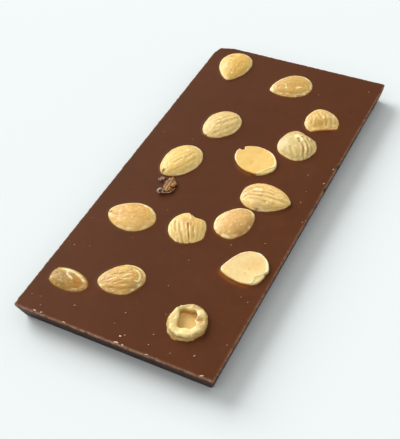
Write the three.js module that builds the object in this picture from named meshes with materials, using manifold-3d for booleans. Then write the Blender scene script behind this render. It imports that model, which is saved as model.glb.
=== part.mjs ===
import * as THREE from 'three';
import { mergeVertices } from 'three/addons/utils/BufferGeometryUtils.js';
import Module from 'manifold-3d';

const wasm = await Module();
wasm.setup();

// Flat tablet with nuts pressed into its top. Millimetres, +Z up, origin at the
// bottom centre, X across the short side, Y along the long side.
const WIDTH = 77;
const LENGTH = 160;
const THICKNESS = 7.5;
const DRAFT = 2;
const EDGE_BEVEL = 0.5;
const BEVEL_STEPS = 2;

// Small damage on the outline.
const CORNER_RADIUS = 0.8;
const CHIP_ALONG_BACK = 3.5;
const CHIP_ALONG_SIDE = 2.5;
const NICK_DEPTH = 0.6;
const NICK_HALF_LENGTH = 1.5;
const NICKS_Y = [13, 26.5];
const CHIP_PULL = 0.7;

// Clearance between a nut and its pocket.
const GAP = 0.6;
const RINGS_AROUND = 24;
const RINGS_ALONG = 12;
const POCKET_AROUND = 18;
const POCKET_ALONG = 10;
const TOP_DENSITY = 0.35;
const BLUNT_END = 0.5;
const TRIM_BLEND = 0.6;
const NUT_THICKNESS = 7.2;
const HALF_THICKNESS = 4.5;
const OUTLINE_SEGMENTS = 30;
const SKIN_STEPS_ALONG = 8;
const SKIN_STEPS_ACROSS = 10;
const SKIN_NARROWING = 0.35;
const SKIN_ROUNDING = 0.2;
const CORNER_STEPS = 4;
const TABLET_COLOR = 0x623d29;

// heading: direction of the pointed end in degrees from +X. tip: 0.5 round, more is
// sharper. rise: how far the crown stands above the chocolate. lift: extra height of
// the pointed end. grooves: count round the whole section. depth: groove depth as a
// share of the radius. side: which flank carries the grooves, 0 for both. trims: a flank,
// 1 or -1, grows narrower from one place along the nut to another, by a share. ends: a
// limit along the nut, and how far beyond it the softened end reaches. dip: the upper
// half grows flatter from one place along the nut to another, by a share.
const WHOLE_NUTS = [
  { name: 'almond_01', color: 0xe4bc6a, x: -25.5, y: 68.1, heading: -83, length: 20, width: 15,
    tip: 0.78, rise: 2.4, lift: 1.6, grooves: 8, depth: 0.02, side: 0 },
  { name: 'almond_02', color: 0xd5ae64, x: 3, y: 64.3, heading: 215, length: 19, width: 16,
    tip: 0.72, rise: 2, lift: 1.6, grooves: 8, depth: 0.03, side: 0 },
  { name: 'almond_03', color: 0xe4c381, x: -13.7, y: 31.4, heading: 250, length: 18.3, width: 15.5,
    tip: 0.55, rise: 2.6, lift: 0.5, grooves: 10, depth: 0.05, side: 0, trims: [[-1, -0.3, 0.6, 0.1]] },
  { name: 'almond_05', color: 0xe5c88b, x: 19.4, y: 31, heading: 118, length: 17.8, width: 16,
    tip: 0.55, rise: 2.8, lift: 0.3, grooves: 11, depth: 0.12, side: -1,
    trims: [[-1, 0.1, 0.7, 0.26], [1, 0.2, 0.9, 0.1], [1, -0.2, -1, 0.18], [-1, -0.5, -1, 0.1]] },
  { name: 'almond_06', color: 0xe7c477, x: -18.9, y: 6.1, heading: 253, length: 20.2, width: 15.6,
    tip: 0.6, rise: 2.5, lift: 1.4, grooves: 9, depth: 0.05, side: 0, trims: [[-1, -0.3, 0.6, 0.08]] },
  { name: 'almond_08', color: 0xeac37e, x: 20, y: -0.1, heading: 2, length: 20, width: 14.8,
    tip: 0.72, rise: 2.7, lift: 1.6, grooves: 8, depth: 0.09, side: 0, ends: [[-8.9, 0.5]] },
  { name: 'almond_09', color: 0xe2b97c, x: 14.86, y: -15.85, heading: 63, length: 17.6, width: 14.6,
    tip: 0.62, rise: 2.1, lift: 1.1, grooves: 10, depth: 0.02, side: 0, ends: [[7.9, 0.6], [-8.3, 0.6]],
    trims: [[1, 0.2, 0.8, -0.12], [-1, 0.1, 0.7, 0.06], [-1, -0.3, -0.9, -0.22]] },
  { name: 'almond_10', color: 0xe8c17a, x: 0.2, y: -24.9, heading: 117, length: 16, width: 15,
    tip: 0.5, rise: 2.6, lift: 0, grooves: 10, depth: 0.12, side: 0,
    ends: [[-7.3, 0.4]],
    trims: [[-1, 0.36, 0.56, 0.4], [-1, 0.5, 1, 0.25], [1, -0.5, -1, -0.1], [-1, -0.3, -1, -0.3]] },
  { name: 'almond_11', color: 0xe6b970, x: -21.2, y: -27.7, heading: 184, length: 20, width: 15.7,
    tip: 0.58, rise: 2.1, lift: 1.2, grooves: 9, depth: 0.02, side: 0,
    trims: [[-1, 0, 0.8, 0.1], [1, -0.4, -1, 0.14], [-1, -0.5, -1, 0.1]] },
  { name: 'almond_13', color: 0xbf9557, x: -26.7, y: -63.1, heading: 176, length: 18.4, width: 10.5,
    tip: 0.5, rise: 1.8, lift: 1, grooves: 8, depth: 0.02, side: 0, ends: [[5.8, 1.3]] },
  { name: 'almond_14', color: 0xdcb474, x: -9.4, y: -55.5, heading: 207, length: 17.8, width: 14.4,
    tip: 0.6, rise: 2.4, lift: 0.7, grooves: 9, depth: 0.09, side: 0,
    trims: [[-1, -0.3, 0.6, 0.09], [1, -0.2, -0.8, 0.13]] },
];

// The broken nut: its blunt end is missing.
const BROKEN_NUT = { name: 'almond_04', color: 0xdab265, x: 23.2, y: 47.3, heading: 118, length: 19,
  width: 15.3, tip: 0.65, rise: 2.3, lift: 0.4, grooves: 10, depth: 0.09, side: 0, ends: [[-4.2, 0.8]],
  trims: [[1, -0.1, -0.5, -0.05], [-1, -0.1, -0.5, -0.05]], dip: [0.15, -0.5, 0.4] };

// Split nuts that lie with their flat face up.
const HALF_NUTS = [
  { name: 'almond_07', color: 0xf5ce7c, x: 8, y: 17, heading: 162, length: 18.2, width: 14,
    tip: 0.55, rise: 1 },
  { name: 'almond_12', color: 0xf3d491, x: 27.6, y: -34.3, heading: 207, length: 16.8, width: 14.8,
    tip: 0.78, rise: 1.1, ends: [[7.8, 0.6]],
    trims: [[1, 0, 0.6, 0.05], [-1, 0.1, 0.8, 0.08], [1, -0.45, -0.85, 0.14]] },
];

// The hollow nut: a ring with a lumpy rim round a sunken floor.
const CUP_NUT = { name: 'almond_15', color: 0xdfc48f, x: 20.3, y: -62.8, heading: 100, length: 14.4,
  width: 13.4, tip: 0.5, rise: 2.3 };
const CUP_FLOOR = -0.8;
const CUP_BOTTOM = -4.9;
const RIM_LUMP_HEIGHT = 0.35;
const HOLLOW_SHIFT = 0.5;
const HOLLOW_SQUARENESS = 0.12;

// Swellings of the cup's rim: angle from its heading in radians, spread, height.
const RIM_LUMPS = [
  [-1.08, 0.35, 1.2], [-0.2, 0.3, 0.9], [1.05, 0.3, 0.8], [1.83, 0.35, 1.1], [2.44, 0.3, 1],
  [3.32, 0.5, 0.9], [4.24, 0.35, 1.2],
];

// Where its rim leans in over the hollow: angle in radians, spread, millimetres.
const RIM_LEANS = [[-1.4, 0.8, 1], [Math.PI, 0.95, 1.4]];
const LEAN_FROM_SHARE = [0.2, 0.7];
const LEAN_FROM_HEIGHT = [-0.6, 1.2];

// Brown nut skin lying on the surface: a ridged plate with a curled end, and a scrap.
const SKIN_GAP = 0.3;
const PLATE = { name: 'skin_flake', color: 0x966837, x: -16.1, y: -8.3, heading: 98, length: 7.8,
  width: 5, thick: 0.8, arch: 0.5, waves: 3, wave: 0.15 };
const SCRAP = { name: 'skin_scrap', color: 0x7a5238, x: -20.8, y: -6.2, heading: 40, length: 2.8,
  width: 2.2, thick: 0.5, arch: 0.2, waves: 1, wave: 0.1 };
const CURL_OUTER = 1;
const CURL_INNER = 0.5;
const CURL_HALF_LENGTH = 0.55;
const CURL_SEGMENTS = 14;
const CURL_BROADENING = 1.3;
const CURL_X = -17.8;
const CURL_Y = -12.6;
const CURL_HEADING = -48;
const CURL_TILT = THREE.MathUtils.degToRad(30);

const MERGE_TOLERANCE = 1e-4;
const LEVEL = () => 0;
const Z_AXIS = new THREE.Vector3(0, 0, 1);

// Plan half-width of a nut at t, from -1 at the blunt end to 1 at the pointed end.
function planWidth(t, tip) {
  const widest = (BLUNT_END - tip) / (BLUNT_END + tip);
  const peak = (1 - widest) ** tip * (1 + widest) ** BLUNT_END;
  return Math.max(1 - t, 0) ** tip * Math.max(1 + t, 0) ** BLUNT_END / peak;
}

// Smooth step from 0 to 1 between two places, given in either order.
function step(start, stop, t) {
  const share = THREE.MathUtils.clamp((t - start) / (stop - start), 0, 1);
  return share * share * (3 - 2 * share);
}

// What is left of the half-width at t on the flank where lateral points.
function flankShare(nut, t, lateral) {
  let share = 1;
  for (const [side, start, stop, amount] of nut.trims ?? []) {
    share -= amount * step(start, stop, t) * step(0, TRIM_BLEND, side * lateral);
  }
  return share;
}

// Rounds off what lies beyond a limit along the nut.
function softEnd(x, nut, grow) {
  let end = x;
  for (const [limit, reach] of nut.ends ?? []) {
    const sign = Math.sign(limit);
    const over = Math.max(0, sign * end - Math.abs(limit) - grow);
    end -= sign * (over - reach * (1 - Math.exp(-over / reach)));
  }
  return end;
}

// Share by which the crown is lower at t.
function dipAt(nut, t) {
  const [start, stop, share] = nut.dip ?? [0, 1, 0];
  return share * step(start, stop, t);
}

// Share by which a groove at this angle of the section draws the surface in.
function groove(angle, nut) {
  const flank = nut.side === 0 ? 1 : THREE.MathUtils.smoothstep(nut.side * Math.cos(angle), -0.2, 0.3);
  return nut.depth * flank * (1 - Math.cos(nut.grooves * (angle - Math.PI / 2))) / 2;
}

// Merges shared corners and drops the empty triangles at lathe poles.
function weld(geometry) {
  const bare = geometry.clone();
  bare.deleteAttribute('normal');
  bare.deleteAttribute('uv');
  const merged = mergeVertices(bare, MERGE_TOLERANCE);
  const index = merged.index.array;
  const kept = [];
  for (let i = 0; i < index.length; i += 3) {
    const [a, b, c] = [index[i], index[i + 1], index[i + 2]];
    if (a !== b && b !== c && c !== a) {
      kept.push(a, b, c);
    }
  }
  merged.setIndex(kept);
  merged.computeVertexNormals();
  return merged;
}

function toSolid(geometry) {
  const welded = weld(geometry);
  return new wasm.Manifold(new wasm.Mesh({
    numProp: 3,
    vertProperties: Float32Array.from(welded.attributes.position.array),
    triVerts: Uint32Array.from(welded.index.array),
  }));
}

function toGeometry(solid) {
  const mesh = solid.getMesh();
  const geometry = new THREE.BufferGeometry();
  geometry.setAttribute('position', new THREE.BufferAttribute(mesh.vertProperties, 3));
  geometry.setIndex(new THREE.BufferAttribute(mesh.triVerts, 1));
  geometry.computeVertexNormals();
  return geometry;
}

// Closed nut body about its own centre, pointed end toward +X.
function wholeNut(nut, around, along, grow, grooved) {
  const body = new THREE.SphereGeometry(1, around, along);
  const position = body.attributes.position;
  const point = new THREE.Vector3();
  for (let i = 0; i < position.count; i += 1) {
    point.fromBufferAttribute(position, i);
    const t = THREE.MathUtils.clamp(point.y, -1, 1);
    const fromTop = Math.atan2(point.x, point.z);
    const angle = Math.PI / 2 + fromTop - TOP_DENSITY * Math.sin(fromTop);
    const reach = planWidth(t, nut.tip) * (grooved ? 1 - groove(angle, nut) : 1);
    const lifted = nut.lift * ((1 + t) / 2) ** 3;
    const x = softEnd((nut.length / 2 + grow) * t, nut, grow);
    const y = (nut.width / 2 + grow) * reach * flankShare(nut, t, Math.cos(angle)) * Math.cos(angle);
    const crown = Math.sin(angle) > 0 ? 1 - dipAt(nut, t) : 1;
    const z = (NUT_THICKNESS / 2 + grow) * reach * crown * Math.sin(angle) + lifted;
    position.setXYZ(i, x, y, z);
  }
  return body.translate(0, 0, nut.rise - NUT_THICKNESS / 2);
}

// Lathe about +Z whose unit circle is stretched to a nut's plan outline. A profile
// point is [radius, height, hollow], where hollow moves and squares its whole ring.
function shapedLathe(profile, nut, grow, lump, lean = LEVEL) {
  const points = profile.map(([radius, height]) => new THREE.Vector2(radius, height));
  const body = new THREE.LatheGeometry(points, OUTLINE_SEGMENTS);
  body.rotateX(Math.PI / 2);
  const position = body.attributes.position;
  for (let i = 0; i < position.count; i += 1) {
    const radius = Math.hypot(position.getX(i), position.getY(i));
    const angle = Math.atan2(position.getY(i), position.getX(i));
    const t = Math.cos(angle);
    const flank = Math.sign(Math.sin(angle));
    const plan = planWidth(t, nut.tip) * flank * flankShare(nut, t, flank);
    const hollow = profile[i % profile.length][2] ?? 0;
    const reach = radius * (1 - HOLLOW_SQUARENESS * hollow * Math.cos(4 * angle));
    const x = softEnd((nut.length / 2 + grow) * t, nut, grow) * reach + HOLLOW_SHIFT * hollow;
    const y = (nut.width / 2 + grow) * plan * reach;
    const z = position.getZ(i);
    const inward = lean(angle, hollow, z);
    position.setXYZ(i, x - inward * t, y - inward * Math.sin(angle), z + lump(angle, radius));
  }
  return body;
}

// Heights are measured from the chocolate surface, radii as shares of the outline.
function halfNut(nut, grow) {
  const top = nut.rise + grow;
  const bottom = nut.rise - HALF_THICKNESS - grow;
  const profile = [
    [0, bottom], [0.5, bottom + 0.4], [0.8, bottom + 1.4], [0.95, bottom + 2.6], [1, top - 0.8],
    [0.985, top - 0.3], [0.94, top - 0.05], [0.85, top], [0.6, top - 0.15], [0, top - 0.25],
  ];
  return shapedLathe(profile, nut, grow, LEVEL);
}

// Angle between two directions, from -pi to pi.
function apartFrom(angle, centre) {
  return Math.atan2(Math.sin(angle - centre), Math.cos(angle - centre));
}

function rimLump(angle, radius) {
  const onRim = THREE.MathUtils.smoothstep(radius, 0.55, 0.75);
  let height = -1;
  for (const [centre, spread, size] of RIM_LUMPS) {
    height += size * Math.exp(-((apartFrom(angle, centre) / spread) ** 2));
  }
  return onRim * RIM_LUMP_HEIGHT * height;
}

function rimLean(angle, hollow, z) {
  let inward = 0;
  for (const [centre, spread, size] of RIM_LEANS) {
    inward += size * Math.exp(-((apartFrom(angle, centre) / spread) ** 4));
  }
  return inward * step(...LEAN_FROM_SHARE, hollow) * step(...LEAN_FROM_HEIGHT, z);
}

function cupNut(nut) {
  const top = nut.rise;
  const profile = [
    [0, CUP_BOTTOM], [0.5, CUP_BOTTOM + 0.4], [0.82, CUP_BOTTOM + 1.8], [0.97, CUP_BOTTOM + 3.6],
    [1, 0], [0.99, top - 1.2], [0.94, top - 0.4], [0.85, top, 0.2], [0.74, top - 0.1, 0.5],
    [0.65, top - 0.7, 0.8], [0.6, CUP_FLOOR + 1, 1], [0.54, CUP_FLOOR + 0.15, 1],
    [0.3, CUP_FLOOR, 1], [0, CUP_FLOOR, 1],
  ];
  return shapedLathe(profile, nut, 0, rimLump, rimLean);
}

function cupPocket(nut) {
  const bottom = CUP_BOTTOM - GAP;
  const profile = [
    [0, bottom], [0.5, bottom + 0.4], [0.82, bottom + 1.8], [0.97, bottom + 3.6], [1, 0],
    [1, nut.rise], [0, nut.rise],
  ];
  return shapedLathe(profile, nut, GAP, LEVEL);
}

// Thin skin: a plate with ragged ends, arched across and waved along its length.
function skinPlate(piece) {
  const plate = new THREE.BoxGeometry(2, 2, piece.thick, SKIN_STEPS_ALONG, SKIN_STEPS_ACROSS, 1);
  const position = plate.attributes.position;
  for (let i = 0; i < position.count; i += 1) {
    const u = position.getX(i);
    const v = position.getY(i);
    const x = (piece.length / 2) * u * (1 - SKIN_ROUNDING * v * v);
    const y = (piece.width / 2) * v * (1 - SKIN_NARROWING * u * u);
    const arch = piece.arch * (1 - v * v);
    const wave = piece.wave * (1 + Math.cos(Math.PI * piece.waves * v));
    position.setXYZ(i, x, y, position.getZ(i) + arch + wave);
  }
  return plate.translate(0, 0, piece.thick / 2 + SKIN_GAP);
}

function skinCurl() {
  const ring = [
    new THREE.Vector2(CURL_INNER, -CURL_HALF_LENGTH),
    new THREE.Vector2(CURL_OUTER, -CURL_HALF_LENGTH),
    new THREE.Vector2(CURL_OUTER, CURL_HALF_LENGTH),
    new THREE.Vector2(CURL_INNER, CURL_HALF_LENGTH),
    new THREE.Vector2(CURL_INNER, -CURL_HALF_LENGTH),
  ];
  const curl = weld(new THREE.LatheGeometry(ring, CURL_SEGMENTS));
  curl.rotateZ(Math.PI / 2);
  curl.scale(1, CURL_BROADENING, 1);
  curl.rotateY(-CURL_TILT);
  curl.rotateZ(THREE.MathUtils.degToRad(CURL_HEADING - PLATE.heading));
  const height = CURL_OUTER * Math.cos(CURL_TILT) + CURL_HALF_LENGTH * Math.sin(CURL_TILT);
  const offset = new THREE.Vector3(CURL_X - PLATE.x, CURL_Y - PLATE.y, height + SKIN_GAP);
  offset.applyAxisAngle(Z_AXIS, -headingOf(PLATE));
  return curl.translate(offset.x, offset.y, offset.z);
}

function headingOf(piece) {
  return THREE.MathUtils.degToRad(piece.heading);
}

// Top outline of the tablet, with one broken corner and two nicks in the right edge.
function tabletOutline() {
  const right = WIDTH / 2;
  const back = LENGTH / 2;
  const r = CORNER_RADIUS;
  const outline = new THREE.Shape();
  outline.moveTo(-right, r - back);
  outline.quadraticCurveTo(-right, -back, r - right, -back);
  outline.lineTo(right - r, -back);
  outline.quadraticCurveTo(right, -back, right, r - back);
  for (const y of NICKS_Y) {
    outline.lineTo(right, y - NICK_HALF_LENGTH);
    outline.lineTo(right - NICK_DEPTH, y);
    outline.lineTo(right, y + NICK_HALF_LENGTH);
  }
  outline.lineTo(right, back - r);
  outline.quadraticCurveTo(right, back, right - r, back);
  outline.lineTo(CHIP_ALONG_BACK - right, back);
  outline.quadraticCurveTo(CHIP_PULL - right, back - CHIP_PULL, -right, back - CHIP_ALONG_SIDE);
  return outline;
}

function tabletBody() {
  const block = new THREE.ExtrudeGeometry(tabletOutline(), {
    depth: THICKNESS - 2 * EDGE_BEVEL,
    bevelThickness: EDGE_BEVEL,
    bevelSize: EDGE_BEVEL,
    bevelOffset: -EDGE_BEVEL,
    bevelSegments: BEVEL_STEPS,
    curveSegments: CORNER_STEPS,
  });
  block.translate(0, 0, EDGE_BEVEL);
  const position = block.attributes.position;
  for (let i = 0; i < position.count; i += 1) {
    const inset = DRAFT * Math.max(0, 1 - position.getZ(i) / (THICKNESS - EDGE_BEVEL));
    position.setX(i, position.getX(i) * (1 - inset / (WIDTH / 2)));
    position.setY(i, position.getY(i) * (1 - inset / (LENGTH / 2)));
  }
  return block;
}

function pocketOf(geometry, nut) {
  return toSolid(geometry.rotateZ(headingOf(nut)).translate(nut.x, nut.y, THICKNESS));
}

function tabletWithPockets() {
  const pockets = [
    ...[...WHOLE_NUTS, BROKEN_NUT].map((nut) => (
      pocketOf(wholeNut(nut, POCKET_AROUND, POCKET_ALONG, GAP, false), nut))),
    ...HALF_NUTS.map((nut) => pocketOf(halfNut(nut, GAP), nut)),
    pocketOf(cupPocket(CUP_NUT), CUP_NUT),
  ];
  return pockets.reduce((body, pocket) => body.subtract(pocket), toSolid(tabletBody()));
}

function addPiece(parent, piece, geometry, roughness) {
  const material = new THREE.MeshStandardMaterial({ color: piece.color, roughness, metalness: 0 });
  const mesh = new THREE.Mesh(geometry, material);
  mesh.name = piece.name;
  mesh.position.set(piece.x, piece.y, 0);
  mesh.rotation.z = headingOf(piece);
  parent.add(mesh);
}

const tablet = new THREE.Mesh(
  toGeometry(tabletWithPockets()),
  new THREE.MeshStandardMaterial({ color: TABLET_COLOR, roughness: 0.42, metalness: 0, flatShading: true }),
);
tablet.name = 'tablet';

const toppings = new THREE.Group();
toppings.position.z = THICKNESS;
for (const nut of [...WHOLE_NUTS, BROKEN_NUT]) {
  addPiece(toppings, nut, weld(wholeNut(nut, RINGS_AROUND, RINGS_ALONG, 0, true)), 0.45);
}
for (const nut of HALF_NUTS) {
  addPiece(toppings, nut, weld(halfNut(nut, 0)), 0.45);
}
addPiece(toppings, CUP_NUT, weld(cupNut(CUP_NUT)), 0.5);
addPiece(toppings, PLATE, toGeometry(toSolid(skinPlate(PLATE)).add(toSolid(skinCurl()))), 0.6);
addPiece(toppings, SCRAP, weld(skinPlate(SCRAP)), 0.6);

const bar = new THREE.Group();
bar.add(tablet, toppings);

export default bar;
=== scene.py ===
import math

import bmesh
import bpy
import numpy as np
from mathutils import Matrix


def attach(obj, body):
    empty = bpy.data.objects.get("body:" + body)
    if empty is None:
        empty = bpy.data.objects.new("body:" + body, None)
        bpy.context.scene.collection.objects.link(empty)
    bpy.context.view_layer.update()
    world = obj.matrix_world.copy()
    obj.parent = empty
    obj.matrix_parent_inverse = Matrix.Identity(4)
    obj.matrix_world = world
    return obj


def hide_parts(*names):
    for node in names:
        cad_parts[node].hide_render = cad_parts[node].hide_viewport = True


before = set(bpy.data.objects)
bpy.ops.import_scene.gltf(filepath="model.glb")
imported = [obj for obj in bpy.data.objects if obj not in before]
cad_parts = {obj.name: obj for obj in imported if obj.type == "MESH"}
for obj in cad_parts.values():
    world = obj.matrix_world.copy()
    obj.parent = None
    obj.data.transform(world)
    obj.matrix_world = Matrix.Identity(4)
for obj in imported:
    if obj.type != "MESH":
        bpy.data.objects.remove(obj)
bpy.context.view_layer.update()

# Lengths are in mm until make_object turns them into metres. Headings, turns and bearings are in degrees.
MM = 0.001
TOP = 7.5            # height of the chocolate surface
HALF_W = 38.5        # half of the bar's short side, along x
HALF_L = 80.0        # half of its long side, along y
DRAFT = 2.0          # how far the walls lean in toward the underside
NUT_THICK = 7.2
HALF_THICK = 4.5     # thickness of a split nut
BLUNT_END = 0.5      # exponent of a nut's blunt end; tip is that of its other end
FAR_SIDE = 122.0     # bearing of the side that faces away from the camera, degrees
LIT = 0.84           # photographed colour times this is the surface's own colour

# Light and floor, in metres.
SKY = 0.64
WINDOW_FROM = (-1.0, 0.36, 0.62)
WINDOW_ANGLE = 40.0
WINDOW_POWER = 2.9
SOFTBOX_FROM = (-1.08, 1.41, 0.89)
SOFTBOX_SIZE = 0.16
SOFTBOX_POWER = 2.0
FLOOR_HALF = 3.0
FLOOR_COLOR = (0.79, 0.84, 0.832, 1)


def add_object(name, data):
    obj = bpy.data.objects.new(name, data)
    bpy.context.scene.collection.objects.link(obj)
    return obj


# Camera: solved from the four top corners of the bar.
def add_camera():
    data = bpy.data.cameras.new("camera")
    data.lens = 73.92
    data.sensor_width = 36.0
    data.clip_start = 0.01
    right = (0.88642, 0.45636, -0.07740)
    up = (-0.28441, 0.66891, 0.68679)
    back = (0.36520, -0.58677, 0.72273)
    place = (0.12293, -0.21277, 0.24597)
    camera = add_object("camera", data)
    camera.matrix_world = Matrix([*zip(right, up, back, place), (0, 0, 0, 1)])
    bpy.context.scene.camera = camera


# Noise in numpy, the same on every run.
HASH_PRIMES = (374761393, 668265263, 2246822519)


def hashed(cells, seed):
    h = np.uint32((seed * 2654435761) % 2**32)
    for cell, prime in zip(cells, HASH_PRIMES):
        h = h + cell.astype(np.int64).astype(np.uint32) * np.uint32(prime)
    h = (h ^ (h >> np.uint32(13))) * np.uint32(1274126177)
    h = h ^ (h >> np.uint32(16))
    return h.astype(np.float64) / 4294967295.0 * 2.0 - 1.0


def noise(x, y, z, seed):
    """Smooth noise from -1 to 1 with one value for each unit cell's corner."""
    place = np.broadcast_arrays(x, y, z)
    low = [np.floor(v) for v in place]
    part = [v - n for v, n in zip(place, low)]
    part = [f * f * f * (f * (f * 6 - 15) + 10) for f in part]
    total = 0
    for corner in np.ndindex(2, 2, 2):
        weight = 1
        for f, high in zip(part, corner):
            weight = weight * (f if high else 1 - f)
        total = total + weight * hashed([n + high for n, high in zip(low, corner)], seed)
    return total


def fbm(x, y, z, octaves, seed):
    """Noise summed over octaves, each twice as fine and half as strong as the last."""
    total, gain = 0, 1.0
    for k in range(octaves):
        total = total + gain * noise(x * 2**k, y * 2**k, z * 2**k, seed + 17 * k)
        gain *= 0.5
    return total


def smooth(a, b, x):
    """From 0 at a to 1 at b."""
    t = np.clip((x - a) / (b - a), 0, 1)
    return t * t * (3 - 2 * t)


def bell(x, width, power=2):
    return np.exp(-((x / width) ** power))


def apart_from(a, degrees):
    """Angle in radians from a bearing in degrees to the angle a."""
    centre = math.radians(degrees)
    return np.arctan2(np.sin(a - centre), np.cos(a - centre))


def linear(rgb):
    """Photographed sRGB to the surface colour that shows it under these lights."""
    c = np.array(rgb) / 255
    return LIT * np.where(c <= 0.04045, c / 12.92, ((c + 0.055) / 1.055) ** 2.4)


def mix(a, b, share):
    share = np.clip(share, 0, 1)[..., None]
    return np.asarray(a) * (1 - share) + np.asarray(b) * share


# Meshes from numpy arrays, in mm, with one colour for each vertex.
def make_object(name, verts, faces, colors):
    mesh = bpy.data.meshes.new(name)
    mesh.from_pydata((verts * MM).tolist(), [], faces)
    mesh.update()
    mesh.validate()
    layer = mesh.color_attributes.new("tint", "FLOAT_COLOR", "POINT")
    rgba = np.ones((len(verts), 4), dtype=np.float32)
    rgba[:, :3] = colors
    layer.data.foreach_set("color", rgba.ravel())
    mesh.polygons.foreach_set("use_smooth", [True] * len(mesh.polygons))
    return add_object(name, mesh)


def finish_piece(obj, material, node=None):
    """Gives a piece its material and body, and hides the solid that it stands for."""
    obj.data.materials.append(material)
    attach(obj, "root")
    if node:
        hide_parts(node)


def turned(x, y, degrees):
    a = math.radians(degrees)
    return x * math.cos(a) - y * math.sin(a), x * math.sin(a) + y * math.cos(a)


def to_bar(points, place):
    """From a piece's own axes to the bar's; its origin lies on the chocolate surface."""
    x, y = turned(points[..., 0], points[..., 1], place["heading"])
    return np.stack([x + place["x"], y + place["y"], points[..., 2] + TOP], -1)


def circle(count):
    return np.linspace(0, 2 * np.pi, count, endpoint=False)


def ring_quads(inner, outer):
    """Quads between two closed rows of vertex numbers."""
    return np.stack([inner, outer, np.roll(outer, -1), np.roll(inner, -1)], -1).tolist()


def lattice_faces(rows, cols, first, last):
    """Quads between closed rows, with one vertex at each end."""
    grid = np.arange(rows * cols).reshape(rows, cols)
    top, bottom = grid[0].tolist(), grid[-1].tolist()
    faces = [[first, j, k] for j, k in zip(top, top[1:] + top[:1])]
    for inner, outer in zip(grid[:-1], grid[1:]):
        faces += ring_quads(inner, outer)
    return faces + [[last, k, j] for j, k in zip(bottom, bottom[1:] + bottom[:1])]


def sheet_quads(index):
    return np.stack([index[:-1, :-1], index[:-1, 1:], index[1:, 1:], index[1:, :-1]], -1).reshape(-1, 4)


def border(index):
    return np.concatenate([index[0, :-1], index[:-1, -1], index[-1, :0:-1], index[:0:-1, 0]])


def curve_points(points, steps):
    """Smooth open curve through rows of numbers, in so many steps from one to the next."""
    p = np.array(points, dtype=float)
    ext = np.vstack([2 * p[0] - p[1], p, 2 * p[-1] - p[-2]])
    out = []
    for i in range(len(p) - 1):
        a, b, c, d = ext[i:i + 4]
        for s in np.arange(steps) / steps:
            square, cube = 2 * a - 5 * b + 4 * c - d, 3 * b - a - 3 * c + d
            out.append(0.5 * (2 * b + (c - a) * s + square * s**2 + cube * s**3))
    out.append(p[-1])
    return np.array(out)


# Nuts.
NUT_RESPONSE = np.array((1.22, 1.16, 0.88))  # makes up for the warm light within a nut
CREAM = linear((250, 230, 176)) * NUT_RESPONSE
# pale of the scuffs, and of the painted glints, edge highlights and crest highlights
SCUFF_AND_GLINT = linear((255, 244, 206)) * NUT_RESPONSE
TAN = linear((196, 146, 78)) * NUT_RESPONSE
FACET = linear((206, 190, 128)) * NUT_RESPONSE
# brown of the painted shade in furrows and wrinkles
FURROW_SHADE = linear((160, 106, 50))
BROWN = linear((118, 72, 38))
# orange of a thin chocolate film over a nut, with painted shade; on the chocolate beside a nut, painted glow
GLOW = linear((176, 98, 32))
CHOC = linear((88, 52, 34))
FULL_DEPTH = 0.35    # a furrow this deep has its full colour
FADE = 0.15          # a furrow fades over this share of the half-length


def plan_width(t, tip):
    """Share of the half-width at share t of the half-length, from -1 at the blunt end to 1 at the tip."""
    widest = (BLUNT_END - tip) / (BLUNT_END + tip)
    peak = (1 - widest) ** tip * (1 + widest) ** BLUNT_END
    return np.clip(1 - t, 0, None) ** tip * np.clip(1 + t, 0, None) ** BLUNT_END / peak


def offsets(nut, x, y, t, lateral):
    """How far x and y lie from the place at t along the nut and lateral across it."""
    return x - t * nut["length"] / 2, y - lateral * nut["width"] / 2 * plan_width(t, nut["tip"])


def soft_end(x, limit, reach):
    """Rounds off what lies beyond a limit, so that it ends within reach of it."""
    sign = math.copysign(1, limit)
    over = np.clip(sign * x - abs(limit), 0, None)
    return x - sign * (over - reach * (1 - np.exp(-over / reach)))


def flank_share(nut, t, lateral):
    """What is left of a nut's half-width where the photo shows it narrower on one side."""
    share = 1.0
    for side, start, stop, amount in nut.get("trims", ()):
        share = share - amount * smooth(start, stop, t) * smooth(0, 0.6, side * lateral)
    return share


def creases(nut, t, lateral):
    """Depth, and share, of the furrows given by their place at each end of the nut."""
    depth, mark = 0, 0
    for blunt, tip, bow, start, stop, deep, wide in nut.get("lines", ()):
        path = (blunt + tip) / 2 + (tip - blunt) / 2 * t / 0.6 + bow * (1 - t * t)
        path = path + 0.07 * noise(t * 3.1, path * 4, 0, nut["seed"] + 5)
        wide = wide * (1 + 0.5 * noise(t * 4.0, path, 0.5, nut["seed"] + 6))
        shape = bell(lateral - path, wide) * smooth(start - FADE, start + FADE, t)
        shape = shape * smooth(stop + FADE, stop - FADE, t)
        shape = shape * np.clip(0.75 + 0.5 * noise(t * 3.3, path * 3, 0.2, nut["seed"] + 7), 0.2, 1)
        depth = depth + deep * shape
        mark = np.maximum(mark, shape * min(1, deep / FULL_DEPTH))
    return depth, mark


def path_distance(x, y, points):
    """Distance from each place to a smooth line through the points."""
    line = curve_points(points, 3)
    away = np.full(np.shape(x), 99.0)
    for (ax, ay), (bx, by) in zip(line[:-1], line[1:]):
        dx, dy = bx - ax, by - ay
        share = np.clip(((x - ax) * dx + (y - ay) * dy) / (dx * dx + dy * dy), 0, 1)
        away = np.minimum(away, np.hypot(x - ax - share * dx, y - ay - share * dy))
    return away


def furrows(nut, x, y):
    """Depth and share of the furrows drawn through points, and share of their pale banks."""
    depth, mark, bank = 0, 0, 0
    ragged = 1 + 0.45 * noise(x * 0.9, y * 0.9, 0.3, nut["seed"] + 41)
    for deep, wide, points in nut.get("paths", ()):
        away = path_distance(x, y, points)
        core = bell(away, wide) * ragged
        side = bell(away - 2 * wide, wide) * ragged
        depth = depth + deep * (core - 0.35 * side)
        mark = np.maximum(mark, core * min(1, deep / FULL_DEPTH))
        bank = np.maximum(bank, side * min(1, deep / FULL_DEPTH))
    return depth, mark, bank


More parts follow.
